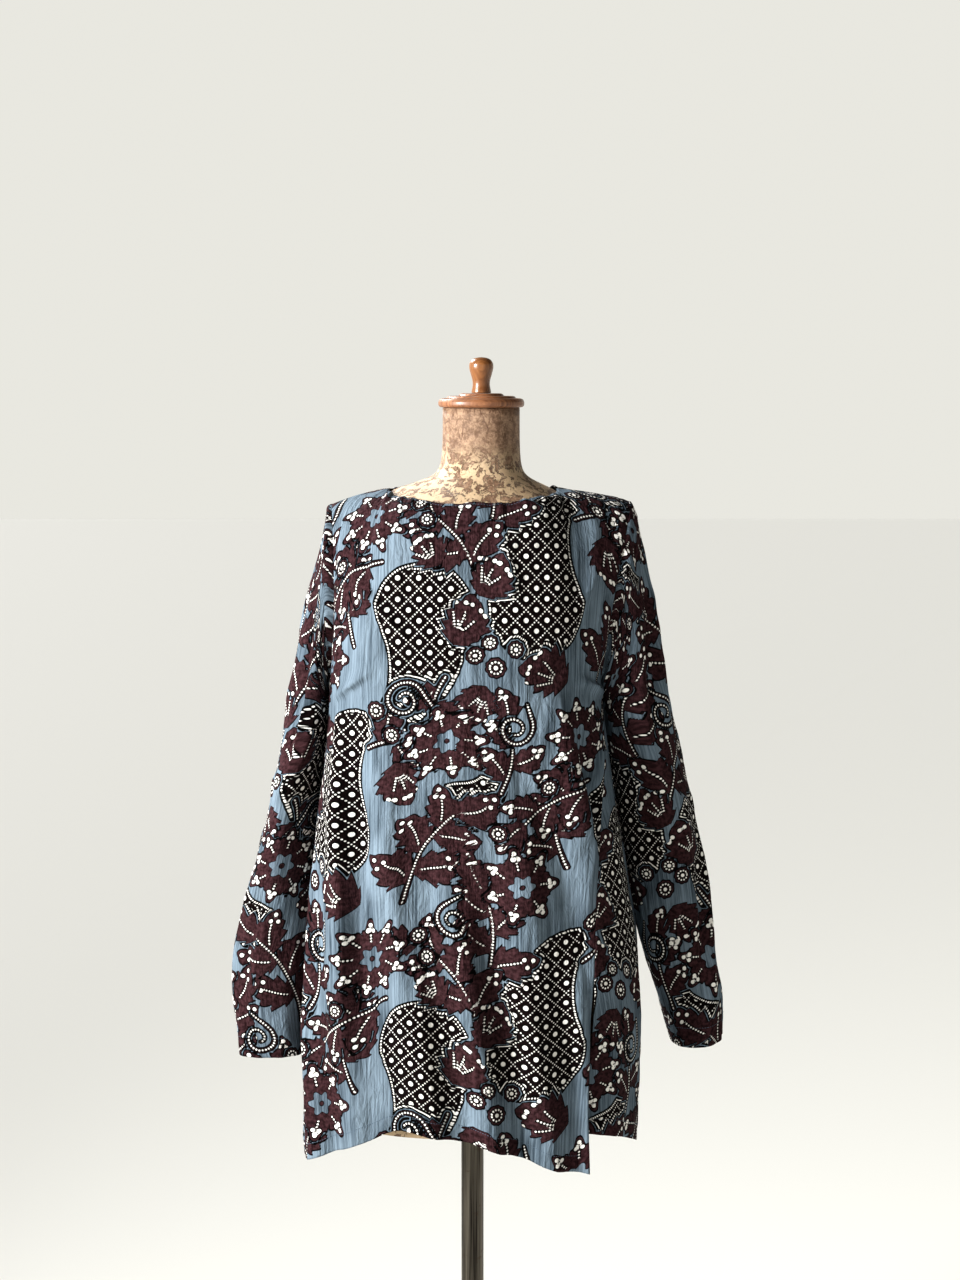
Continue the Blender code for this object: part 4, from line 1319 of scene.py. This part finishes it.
@dataclass
class Seamstress:
    """How the cloth is finished: hem depths, seam allowances and stitches, in metres."""

    hem: float = 0.020
    cuff: float = 0.025
    allowance: float = 0.009
    layer_gap: float = 0.0008
    stitch: float = 0.0024
    pitch: float = 0.0031
    thread: float = 0.00028

    def stitches(
        self, name: str, path: Grid, normals: Grid, material: Material
    ) -> bpy.types.Object:
        """A run of stitches that lie on the cloth.

        Args:
            name: the piece's name.
            path: points along the seam.
            normals: directions out of the cloth there.
            material: the thread's finish.

        Returns:
            The stitches as one piece.
        """
        length = np.concatenate(([0.0], np.cumsum(np.linalg.norm(np.diff(path, axis=0), axis=1))))
        count = int(length[-1] / self.pitch)
        start = (np.arange(count) + 0.12) * self.pitch
        rings = []
        for share, deep, thick in ((0.0, -0.9, 0.7), (0.3, 0.5, 1.0), (0.7, 0.5, 1.0), (1.0, -0.9, 0.7)):
            at = start + share * self.stitch
            place = np.stack([np.interp(at, length, path[:, axis]) for axis in range(3)], axis=1)
            out = np.stack([np.interp(at, length, normals[:, axis]) for axis in range(3)], axis=1)
            out /= np.linalg.norm(out, axis=1, keepdims=True)
            ahead = np.stack([np.interp(at + 1e-4, length, path[:, axis]) for axis in range(3)], axis=1)
            way = ahead - place
            way /= np.maximum(np.linalg.norm(way, axis=1, keepdims=True), 1e-12)
            side = np.cross(way, out)
            middle = place + out * self.thread * deep
            ring = [
                middle + (side * math.cos(turn) + out * math.sin(turn)) * self.thread * thick
                for turn in np.linspace(0.0, 2.0 * math.pi, 6, endpoint=False)
            ]
            rings.append(np.stack(ring, axis=1))
        points = np.stack(rings, axis=1)
        index = np.arange(points.shape[0] * 24).reshape(-1, 4, 6)
        after = np.roll(index, -1, axis=2)
        faces = np.stack((index[:, :-1], after[:, :-1], after[:, 1:], index[:, 1:]), axis=3).reshape(-1, 4)
        obj = make_object(name, points.reshape(-1, 3), faces, material)
        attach(obj, "root")
        return obj


def lengths(points: Grid, axis: int) -> Grid:
    """Length along each line of a grid, from its first point."""
    steps = np.linalg.norm(np.diff(points, axis=axis), axis=2)
    start = np.zeros_like(np.take(steps, [0], axis=axis))
    return np.concatenate((start, np.cumsum(steps, axis=axis)), axis=axis)


@dataclass
class CutPiece:
    """One cut piece of the blouse, named for the solid that it stands for."""

    shape: BlouseShape
    sewing: Seamstress
    name: str
    # Where the piece lies on the printed cloth, in millimetres, and the start of its random waves.
    shift: tuple[float, float]
    seed: int
    creases: Table

    def folds(self, cut: Grid, waves: Table, share: float = 1.0) -> Grid:
        """Height of the piece's uneven waves and creases over its plain shape.

        Args:
            cut: places on the cut.
            waves: height in metres of each layer of waves, with their size across and along in millimetres.
            share: part of the creases' height that is kept.

        Returns:
            Height in metres.
        """
        height = sum(
            deep * ripple(cut, self.seed + layer, across, along) for layer, (deep, across, along) in enumerate(waves)
        )
        for row in self.creases:
            height = height + share * Crease(*row).depth(cut)
        return height

    def stitched(
        self, part: str, sheet: Sheet, columns: Sequence[int], at: Grid, thread: Material
    ) -> bpy.types.Object:
        """A run of stitches across columns of the sheet, each at its height on the cut."""
        height = sheet.cut[..., 1]
        up = slice(None, None, 1 if height[-1, 0] > height[0, 0] else -1)
        path, out = (
            np.array([
                [np.interp(at[column], height[up, column], values[up, column, axis]) for axis in range(3)]
                for column in columns
            ])
            for values in (sheet.points, sheet.normals())
        )
        return self.sewing.stitches(f"{self.name}_{part}_stitches", path, out, thread)

    def declare(
        self, plain: Sheet, turned: Sheet, hem: float, material: Material, threads: list[bpy.types.Object]
    ) -> None:
        """Makes the printed cloth in place of its solid and says how it is cut.

        Args:
            plain: the sheet before its edges are turned under. Not used.
            turned: the sheet to make.
            hem: depth of the hem in metres. Not used.
            material: the cloth's finish.
            threads: the stitches that the sheet is sewn with. Not used.
        """
        rows, columns = turned.points.shape[:2]
        obj = make_object(self.name + "_cloth", turned.points.reshape(-1, 3), grid_faces(rows, columns), material)
        placed = turned.cut + np.array(self.shift) * MM
        add_cut_map(obj, placed)
        add_print(obj, BatikPrint().over(placed.reshape(-1, 2)))
        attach(obj, "root")
        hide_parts(self.name)


@dataclass
class BodyPanel(CutPiece):
    """The front or back of the blouse: one cut piece from hem to shoulders."""

    face: Face
    columns: int
    low_rows: int = 232
    high_rows: int = 140
    middle_x: float = 0.012

    def coarse(self) -> Grid:
        """Points of the plain panel: rows from the hem to the top edge."""
        rows = np.concatenate((np.linspace(0.0, 1.0, 41), np.linspace(1.0, 2.0, 31)[1:]))
        shares = np.linspace(0.0, 1.0, 101)
        return np.array([
            [self.shape.panel_point(self.face, float(across), float(row)) for across in shares] for row in rows
        ])

    def dense(self) -> Grid:
        """Points of the plain panel at the density of its folds."""
        low, high = np.linspace(0.0, 40.0, self.low_rows), np.linspace(40.0, 70.0, self.high_rows + 1)
        points = resample(self.coarse(), np.concatenate((low, high[1:])))
        shares = np.linspace(0.0, 100.0, self.columns)
        points = resample(points.transpose(1, 0, 2), shares).transpose(1, 0, 2)
        return points if self.face is Face.FRONT else points[:, ::-1]

    def laid_flat(self, points: Grid) -> Grid:
        """Places of the points on the cut: the grain hangs straight at the middle."""
        run, climb = lengths(points, 1), lengths(points, 0)
        way = 1 if self.face is Face.FRONT else -1
        middle = [np.interp(self.middle_x, points[row, ::way, 0], run[row, ::way]) for row in range(len(points))]
        return np.stack((run - np.array(middle)[:, None], climb - climb[self.low_rows - 1]), axis=2)

    def from_shoulders(self) -> Grid:
        """How far past the shoulder seams each column lies, as a share of the panel's width."""
        shares = np.linspace(0.0, 1.0, self.columns)
        return np.minimum(shares, 1.0 - shares) - self.shape.shoulder_share

    def hold(self, cut: Grid) -> Grid:
        """Share of the creases that a place may take: none at a seam."""
        side = np.minimum(cut[..., 0] - cut[:, :1, 0], cut[:, -1:, 0] - cut[..., 0])
        top = np.where(self.from_shoulders()[None, :] < 0.01, cut[-1:, :, 1] - cut[..., 1], 1.0)
        return eased(np.minimum(side, top) / SEAM_FADE)

    def dressed(self) -> Sheet:
        """The panel with its creases and puckers, before its edges are turned under."""
        points = self.dense()
        cut = self.laid_flat(points)
        height = self.folds(cut, ((0.0018, 34.0, 120.0), (0.0010, 13.0, 44.0), (0.0005, 6.5, 20.0)))
        height = height * self.hold(cut) + self.puckers(cut)
        # Above the underarms the cloth lies on the form, so its troughs are shallow there.
        over_form = eased((cut[..., 1] + 0.02) / 0.06)
        height = np.maximum(height, -0.0008 - 0.008 * (1.0 - over_form))
        sheet = Sheet(points, cut)
        sheet.move_out(height)
        return sheet

    def puckers(self, cut: Grid) -> Grid:
        """Small puckers where the neckline and the hem are stitched."""
        open_neck = eased((self.from_shoulders() - 0.02) / 0.05)[None, :]
        from_neck = (cut[-1:, :, 1] - cut[..., 1]) / MM
        from_hem = (cut[..., 1] - cut[:1, :, 1]) / MM
        neck = open_neck * np.exp(-((from_neck - 9.0) / 12.0) ** 2)
        hem = np.exp(-((from_hem - 19.0) / 10.0) ** 2)
        waves = ripple(cut * np.array((1.0, 0.35)), self.seed + 5, 6.5, 14.0)
        return 0.0026 * waves * neck + 0.0012 * waves * hem

    def build(self, material: Material, thread: Material) -> None:
        """Makes the panel and its stitches along the hem and the neckline."""
        sheet, hem, allowance = self.dressed(), self.sewing.hem, self.sewing.allowance
        height = sheet.cut[..., 1]
        step = float(np.median(np.diff(height[: self.low_rows // 2], axis=0)))
        across = float(np.median(np.diff(sheet.cut[..., 0], axis=1)))
        edge = round(0.008 / across)
        below, open_neck = range(edge, self.columns - edge), np.flatnonzero(self.from_shoulders() > 0.004)
        threads = [
            self.stitched("hem", sheet, below, height[0] + hem - 0.002, thread),
            self.stitched("neck", sheet, open_neck, height[-1] - 0.006, thread),
        ]
        turned = sheet.turned(
            round(hem / step), round(allowance / step), round(allowance / across), self.sewing.layer_gap
        )
        self.declare(sheet, turned, hem, material, threads)


@dataclass
class Sleeve(CutPiece):
    """One set-in sleeve: a tube with its seam at the underarm and a turned cuff."""

    side: Side
    rows: int = 300
    columns: int = 190
    rest_on_side: float = 0.012

    def dense(self) -> Grid:
        """Points of the plain sleeve: rows from its head to its cuff."""
        turns = np.linspace(math.pi, 3.0 * math.pi, 73)
        rings = [[self.shape.sleeve_edge(self.side, float(turn) % (2.0 * math.pi)) for turn in turns]]
        for along in np.linspace(0.0, 1.0, 61):
            rings.append([self.shape.sleeve_point(self.side, float(along), float(turn)) for turn in turns])
        points = np.array(rings)
        # The seam allowance runs on inside the armhole, just under the panels' edges.
        centre = points[0].mean(axis=0)
        inward = np.array((-math.copysign(1.0, centre[0]), 0.0, 0.0))
        under = (centre - points[0]) * np.array((0.0, 1.0, 1.0))
        under /= np.linalg.norm(under, axis=1, keepdims=True)
        allowance = points[0] + inward * self.sewing.allowance * 0.7 + under * 0.0018
        points = np.concatenate((allowance[None], points))
        head = np.concatenate((np.linspace(0.0, 1.0, 4), np.linspace(1.0, 2.0, 6)[1:]))
        places = np.concatenate((head, 2.0 + np.linspace(0.0, 60.0, self.rows)[1:]))
        points = resample(points, places)
        points = resample(points.transpose(1, 0, 2), np.linspace(0.0, 72.0, self.columns)).transpose(1, 0, 2)
        return points if self.side is Side.RIGHT else points[:, ::-1]

    def laid_flat(self, points: Grid) -> Grid:
        """Places of the points on the cut: the grain runs down the outer line, up from the cuff."""
        run, fall = lengths(points, 1), lengths(points, 0)
        return np.stack((run - run[:, (self.columns - 1) // 2][:, None], fall[-1:] - fall), axis=2)

    def dressed(self) -> Sheet:
        """The sleeve with its creases and puckers, before its cuff is turned under."""
        points = self.dense()
        cut = self.laid_flat(points)
        height = self.folds(cut, ((0.0018, 26.0, 90.0), (0.0011, 12.0, 36.0), (0.0005, 6.5, 18.0)), share=0.45)
        side = np.minimum(cut[..., 0] - cut[:, :1, 0], cut[:, -1:, 0] - cut[..., 0])
        head = np.concatenate(([0.0], np.cumsum(np.linalg.norm(np.diff(points.mean(axis=1), axis=0), axis=1))))
        height = height * eased(side / SEAM_FADE) * eased(head / 0.02)[:, None]
        from_cuff = cut[..., 1] / MM
        waves = ripple(cut * np.array((1.0, 0.35)), self.seed + 5, 5.5, 14.0)
        height = height + 0.0008 * waves * np.exp(-((from_cuff - 24.0) / 9.0) ** 2) * eased(side / SEAM_FADE)
        sheet = Sheet(points, cut, closed=True)
        sheet.move_out(height)
        # The sleeve's inner side rests on the body just below the underarm.
        inward = 1.0 if self.side is Side.LEFT else -1.0
        facing = eased((sheet.normals()[..., 0] * inward + 0.35) / 0.9)
        close = np.exp(-(((sheet.points[..., 2] - 1.135) / 0.062) ** 2)) * facing
        sheet.points[..., 0] += inward * self.rest_on_side * close
        return sheet

    def build(self, material: Material, thread: Material) -> None:
        """Makes the sleeve and the stitches round its cuff."""
        sheet, cuff = self.dressed(), self.sewing.cuff
        height = np.full(self.columns, cuff - 0.002)
        threads = [self.stitched("cuff", sheet, range(self.columns), height, thread)]
        step = float(np.median(-np.diff(sheet.cut[len(sheet.cut) // 2:, :, 1], axis=0)))
        self.declare(sheet, sheet.turned(0, round(cuff / step), 0, self.sewing.layer_gap), cuff, material, threads)


@dataclass
class TurnedPiece:
    """A lathe-turned or round piece: its profile as radius and height pairs, from the axis and back."""

    name: str
    node: str
    profile: Table
    centre: float
    segments: int = 96
    round_over: float = 0.0008

    def softened(self) -> Grid:
        """The profile with its corners rounded."""
        path = np.array(self.profile, float)
        points = [path[0]]
        for before, here, after in zip(path[:-2], path[1:-1], path[2:]):
            back, ahead = before - here, after - here
            far_back, far_ahead = np.linalg.norm(back), np.linalg.norm(ahead)
            cut = min(self.round_over, far_back * 0.45, far_ahead * 0.45)
            first, last = here + back / far_back * cut, here + ahead / far_ahead * cut
            for share in (0.0, 0.25, 0.5, 0.75, 1.0):
                curve = first * (1 - share) ** 2 + here * 2 * share * (1 - share) + last * share ** 2
                points.append(curve)
        points.append(path[-1])
        return np.array(points)

    def build(self, material: Material, slot: str) -> None:
        """Makes the piece in place of its plain solid."""
        profile = self.softened()
        turn = np.linspace(0.0, 2.0 * math.pi, self.segments, endpoint=False)
        radius, height = profile[:, 0][:, None], profile[:, 1][:, None]
        points = np.stack(
            (self.centre + radius * np.cos(turn), radius * np.sin(turn), height + 0.0 * turn), axis=2
        )
        index = np.arange(points.shape[0] * self.segments).reshape(-1, self.segments)
        after = np.roll(index, -1, axis=1)
        faces = np.stack((index[:-1], after[:-1], after[1:], index[1:]), axis=2).reshape(-1, 4)
        obj = make_object(self.name, points.reshape(-1, 3), faces, material)
        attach(obj, "root")
        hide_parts(self.node)
        LOG.info("%s: %d points", self.name, points.shape[0] * self.segments)


@dataclass
class DressForm:
    """The limbless papier-mache form that the blouse hangs on, smooth all over."""

    node: str = "torso"
    levels: int = 2
    sharp: float = 50.0

    def build(self, material: Material) -> None:
        """Makes the smooth form from its plain solid's own corners."""
        body = bmesh.new()
        body.from_mesh(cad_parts[self.node].data)
        bmesh.ops.remove_doubles(body, verts=body.verts, dist=1e-5)
        bmesh.ops.join_triangles(
            body, faces=body.faces, angle_face_threshold=0.6, angle_shape_threshold=0.9, cmp_seam=False
        )
        crease = body.edges.layers.float.new("crease_edge")
        for edge in body.edges:
            if len(edge.link_faces) == 2 and edge.calc_face_angle(0.0) > math.radians(self.sharp):
                edge[crease] = 1.0
        mesh = bpy.data.meshes.new("form_body")
        body.to_mesh(mesh)
        body.free()
        mesh.shade_smooth()
        mesh.materials.clear()
        mesh.materials.append(material)
        obj = bpy.data.objects.new("form_body", mesh)
        bpy.context.scene.collection.objects.link(obj)
        smoother = obj.modifiers.new("smooth_form", "SUBSURF")
        smoother.levels = self.levels
        smoother.render_levels = self.levels
        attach(obj, "root")
        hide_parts(self.node)
        LOG.info("form: %d corners before smoothing", len(mesh.vertices))


@dataclass
class Studio:
    """Camera at the photograph's angle, soft light from the viewer's left, and a pale floor."""

    camera_place: tuple[float, float, float] = (0.0086, -2.3, 1.516)
    tilt: float = 7.2
    lens: float = 58.78
    floor_size: float = 40.0
    air: str = "#E9E8E1"
    air_bright: float = 0.845
    # Axis of the direction, where the dimming starts and ends, and the share of light left there.
    shades: Table = ((2, 0.19, 0.42, 0.12), (0, 0.36, 0.95, 0.6))
    sun_from: tuple[float, float, float] = (-0.52, 0.66, 0.54)
    sun_strength: float = 3.95
    sun_angle: float = 20.0
    key_place: tuple[float, float, float] = (-2.0, -1.25, 1.85)
    key_aim: tuple[float, float, float] = (0.0, -0.1, 1.08)
    key_size: float = 0.8
    key_spread: float = 80.0
    key_energy: float = 26.5

    def build(self) -> None:
        """Sets up the camera, the lights and the floor."""
        camera = bpy.data.cameras.new("camera")
        camera.lens = self.lens
        camera.sensor_width = 36.0
        view = bpy.data.objects.new("camera", camera)
        view.location = self.camera_place
        view.rotation_euler = (math.radians(90.0 - self.tilt), 0.0, 0.0)
        bpy.context.scene.collection.objects.link(view)
        bpy.context.scene.camera = view
        bpy.context.scene.view_settings.view_transform = "Standard"
        bpy.context.scene.view_settings.look = "Medium High Contrast"
        daylight = bpy.data.lights.new("daylight", "SUN")
        daylight.energy = self.sun_strength
        daylight.angle = math.radians(self.sun_angle)
        self.place_light(daylight, self.sun_from, (0.0, 0.0, 0.0))
        key = bpy.data.lights.new("key", "AREA")
        key.energy = self.key_energy
        key.size = self.key_size
        key.spread = math.radians(self.key_spread)
        self.place_light(key, self.key_place, self.key_aim)
        self.surroundings()
        self.floor()

    def place_light(self, lamp: bpy.types.Light, place: Sequence[float], aim: Sequence[float]) -> None:
        """Adds a light that shines from a place on a point and isn't itself seen."""
        obj = bpy.data.objects.new(lamp.name, lamp)
        obj.location = place
        obj.rotation_euler = (Vector(aim) - Vector(place)).to_track_quat("-Z", "Y").to_euler()
        obj.visible_camera = False
        bpy.context.scene.collection.objects.link(obj)

    def surroundings(self) -> None:
        """Sets the room: lit pale walls, a dimmer ceiling and shade on the viewer's right."""
        world = bpy.data.worlds.new("studio")
        world.use_nodes = True
        tree = world.node_tree
        ways = add_node(tree, "SeparateXYZ", {0: add_node(tree, "TexCoord").outputs["Generated"]}).outputs
        strength: Any = self.air_bright
        for axis, start, end, share in self.shades:
            values = {"Value": ways[axis], "From Min": start, "From Max": end, "To Min": 1.0, "To Max": share}
            shade = add_node(tree, "MapRange", values, interpolation_type="SMOOTHSTEP")
            strength = add_node(tree, "Math", {0: strength, 1: shade}, operation="MULTIPLY")
        set_inputs(tree, tree.nodes["Background"], {"Color": linear(self.air), "Strength": strength})
        bpy.context.scene.world = world

    def floor(self) -> None:
        """Adds the painted floor that the stand is on."""
        half = self.floor_size / 2.0
        corners = np.array(((-half, -half, 0.0), (half, -half, 0.0), (half, half, 0.0), (-half, half, 0.0)))
        obj = make_object("floor", corners, np.array(((0, 1, 2, 3),)), StudioPaint().make())


# Each crease on the cut: what Crease takes, in its order.
FRONT_CREASES = (
    (-160, -190, 5.9, 400, 13, 4), (-132, -205, 5, 360, 12, -3), (-98, -250, 4, 300, 17, 2.4),
    (-58, -290, 3, 260, 18, -2.2), (-20, -330, 1, 240, 21, 2.2), (20, -330, -1.5, 250, 17, -2.2),
    (60, -290, -3, 280, 19, 2.6), (92, -230, -4, 260, 14, -2.4), (118, -160, -5, 320, 14, 3.2),
    (141, -170, -6, 310, 11, -3.2), (-112, 92, -34, 120, 8, 1.8), (-96, 62, -31, 110, 8, -1.4),
    (108, 86, 33, 120, 8, 1.8), (94, 52, 30, 110, 8, -1.4), (-62, 152, 9, 90, 8, 1), (28, 140, -6, 80, 8, 0.9),
    (-150, 4, 62, 70, 6, 2), (146, 0, -60, 70, 6, 2), (-24, -60, 14, 150, 11, 1.3), (46, -100, -11, 170, 12, -1.3),
    (-222, -380, 3, 460, 16, 2.6), (-188, -400, 3, 420, 15, -2.4), (-150, -430, 4, 360, 16, 2.8),
    (-106, -420, 3, 380, 24, -3.4), (-62, -440, 2, 320, 16, 2.4), (-26, -450, 1, 300, 14, -2.2),
    (8, -460, -1, 330, 13, 3), (38, -450, -3, 300, 13, -2.8), (68, -450, -4, 380, 14, 3),
    (98, -430, -5, 330, 14, -2.6), (130, -440, -5, 400, 13, 2.4),
)
BACK_CREASES = (
    (-172, -200, 6, 380, 13, 3.4), (-140, -180, 5, 330, 13, -3), (-104, -240, 3.5, 320, 17, 2.8),
    (-66, -260, 2.5, 300, 16, -2.4), (-30, -220, 1, 360, 18, 2.6), (10, -280, -0.5, 280, 17, -2.6),
    (48, -240, -2, 330, 18, 2.8), (86, -250, -4, 300, 15, -2.6), (122, -190, -5, 340, 14, 3.2),
    (156, -200, -6.5, 330, 12, -3), (-92, 70, 28, 130, 9, 1.6), (-74, 40, 25, 120, 9, -1.2),
    (90, 74, -29, 130, 9, 1.6), (76, 44, -26, 110, 9, -1.2), (0, 120, 90, 110, 9, 1.2), (-10, 20, 4, 150, 11, 1.2),
    (-184, -420, 4, 400, 15, 2.6), (-148, -430, 3, 360, 15, -2.6), (-110, -440, 3, 340, 17, 2.8),
    (-70, -440, 1, 380, 19, -2.8), (-30, -450, 0, 330, 15, 2.6), (6, -440, -1, 360, 15, -2.4),
    (44, -450, -2, 320, 17, 2.8), (86, -430, -3, 380, 18, -2.8), (124, -440, -4, 340, 14, 2.6),
    (160, -430, -5, 380, 14, -2.4),
)
LEFT_SLEEVE_CREASES = (
    (-34, 470, 6, 220, 12, 4.2), (-62, 440, 8, 200, 11, -3.9), (-30, 330, -48, 110, 9, 1.2),
    (-52, 296, -52, 100, 9, -1.1), (-26, 262, -42, 100, 9, 1), (-40, 150, 3, 230, 9, 3.6),
    (-62, 140, 2, 210, 8, -3.3), (-26, 16, 0, 46, 3.2, -3.9), (-52, 30, 4, 70, 5, 2.7), (32, 430, -7, 230, 12, 3.9),
    (58, 400, -8, 210, 11, -3.6), (30, 300, 44, 110, 9, 1.1), (50, 262, 48, 100, 9, -1), (36, 140, -3, 220, 9, 3.3),
    (4, 520, 2, 120, 14, 2.4),
)
RIGHT_SLEEVE_CREASES = (
    (30, 480, -5, 230, 12, 4.2), (56, 452, -8, 210, 11, -4.2), (26, 356, 46, 120, 9, 1.2),
    (50, 320, 50, 110, 9, -1.2), (24, 280, 40, 110, 9, 1.1), (54, 240, 46, 100, 8, 0.9), (38, 140, -3, 220, 9, 3.6),
    (58, 130, -2, 200, 8, -3.3), (22, 24, 2, 60, 4, -2.7), (-34, 440, 6, 230, 12, 3.9),
    (-60, 410, 8, 210, 11, -3.6), (-30, 310, -44, 110, 9, 1.1), (-48, 272, -48, 100, 9, -1),
    (-36, 150, 3, 220, 9, 3.3), (-4, 530, -2, 120, 14, 2.4),
)

# Radius and height of each turned piece, from the axis and back to it.
CAP_PROFILE = (
    (0.0, 1.4818), (0.0415, 1.4818), (0.0455, 1.4824), (0.0470, 1.4845), (0.0470, 1.4880),
    (0.0456, 1.4908), (0.0425, 1.4919), (0.0378, 1.4921), (0.0372, 1.4936), (0.0348, 1.4944),
    (0.0246, 1.4946), (0.0240, 1.4962), (0.0218, 1.4972), (0.0, 1.4972),
)
KNOB_PROFILE = (
    (0.0, 1.4975), (0.0110, 1.4975), (0.0104, 1.5010), (0.0093, 1.5060), (0.0096, 1.5110),
    (0.0116, 1.5180), (0.0133, 1.5240), (0.0132, 1.5295), (0.0108, 1.5335), (0.0062, 1.5358),
    (0.0, 1.5365),
)
FLANGE_PROFILE = (
    (0.0, 0.6720), (0.0205, 0.6720), (0.0205, 0.6790), (0.0480, 0.6790), (0.0500, 0.6805),
    (0.0500, 0.6857), (0.0, 0.6857),
)
POLE_PROFILE = ((0.0, 0.0243), (0.0127, 0.0243), (0.0127, 0.6717), (0.0, 0.6717))
BASE_PROFILE = (
    (0.0, 0.0), (0.146, 0.0), (0.150, 0.003), (0.150, 0.010), (0.145, 0.014), (0.040, 0.018),
    (0.034, 0.020), (0.032, 0.024), (0.0, 0.024),
)
NECK_CENTRE = 0.010


def build_stand() -> None:
    """Makes the form's cap and knob and the stand under it."""
    stained = TurnedWood("stained_turned_beech", "#A67350", "#69432E", 0.42, 0.25, 1.0).make()
    lacquered = TurnedWood("lacquered_turned_beech", "#9D6A3F", "#744826", 0.30, 0.5, 0.3).make()
    steel = AgedMetal("aged_drawn_steel", "#767066", "#322E2A", "#46332A", 0.36, 1.0, 5.0, 330.0).make()
    iron = AgedMetal("painted_cast_iron", "#4A4744", "#34312F", "#5A4234", 0.55, 0.6, 160.0, 160.0).make()
    TurnedPiece("cap", "neck_cap", CAP_PROFILE, NECK_CENTRE).build(stained, "turned_wood")
    TurnedPiece("cap_knob", "knob", KNOB_PROFILE, NECK_CENTRE, round_over=0.004).build(lacquered, "light_wood")
    TurnedPiece("form_flange", "flange", FLANGE_PROFILE, 0.0).build(steel, "aged_steel")
    TurnedPiece("stand_pole", "pole", POLE_PROFILE, 0.0).build(steel, "aged_steel")
    TurnedPiece("stand_disc", "base", BASE_PROFILE, 0.0, segments=160).build(iron, "aged_steel")


def main() -> None:
    """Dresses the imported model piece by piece."""
    logging.basicConfig(level=logging.INFO, format="%(name)s: %(message)s")
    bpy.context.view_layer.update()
    Studio().build()
    cotton = PrintedCotton().make()
    thread = SewingThread().make()
    shape, sewing = BlouseShape(), Seamstress()
    for piece in (
        BodyPanel(shape, sewing, "front", (0.0, 0.0), 3, FRONT_CREASES, Face.FRONT, 226),
        BodyPanel(shape, sewing, "back", (96.0, 140.0), 11, BACK_CREASES, Face.BACK, 240),
        Sleeve(shape, sewing, "sleeve_left", (44.0, 210.0), 21, LEFT_SLEEVE_CREASES, Side.LEFT),
        Sleeve(shape, sewing, "sleeve_right", (150.0, 90.0), 31, RIGHT_SLEEVE_CREASES, Side.RIGHT),
    ):
        piece.build(cotton, thread)
    DressForm().build(PapierMache().make())
    build_stand()


if __name__ == "__main__":
    main()
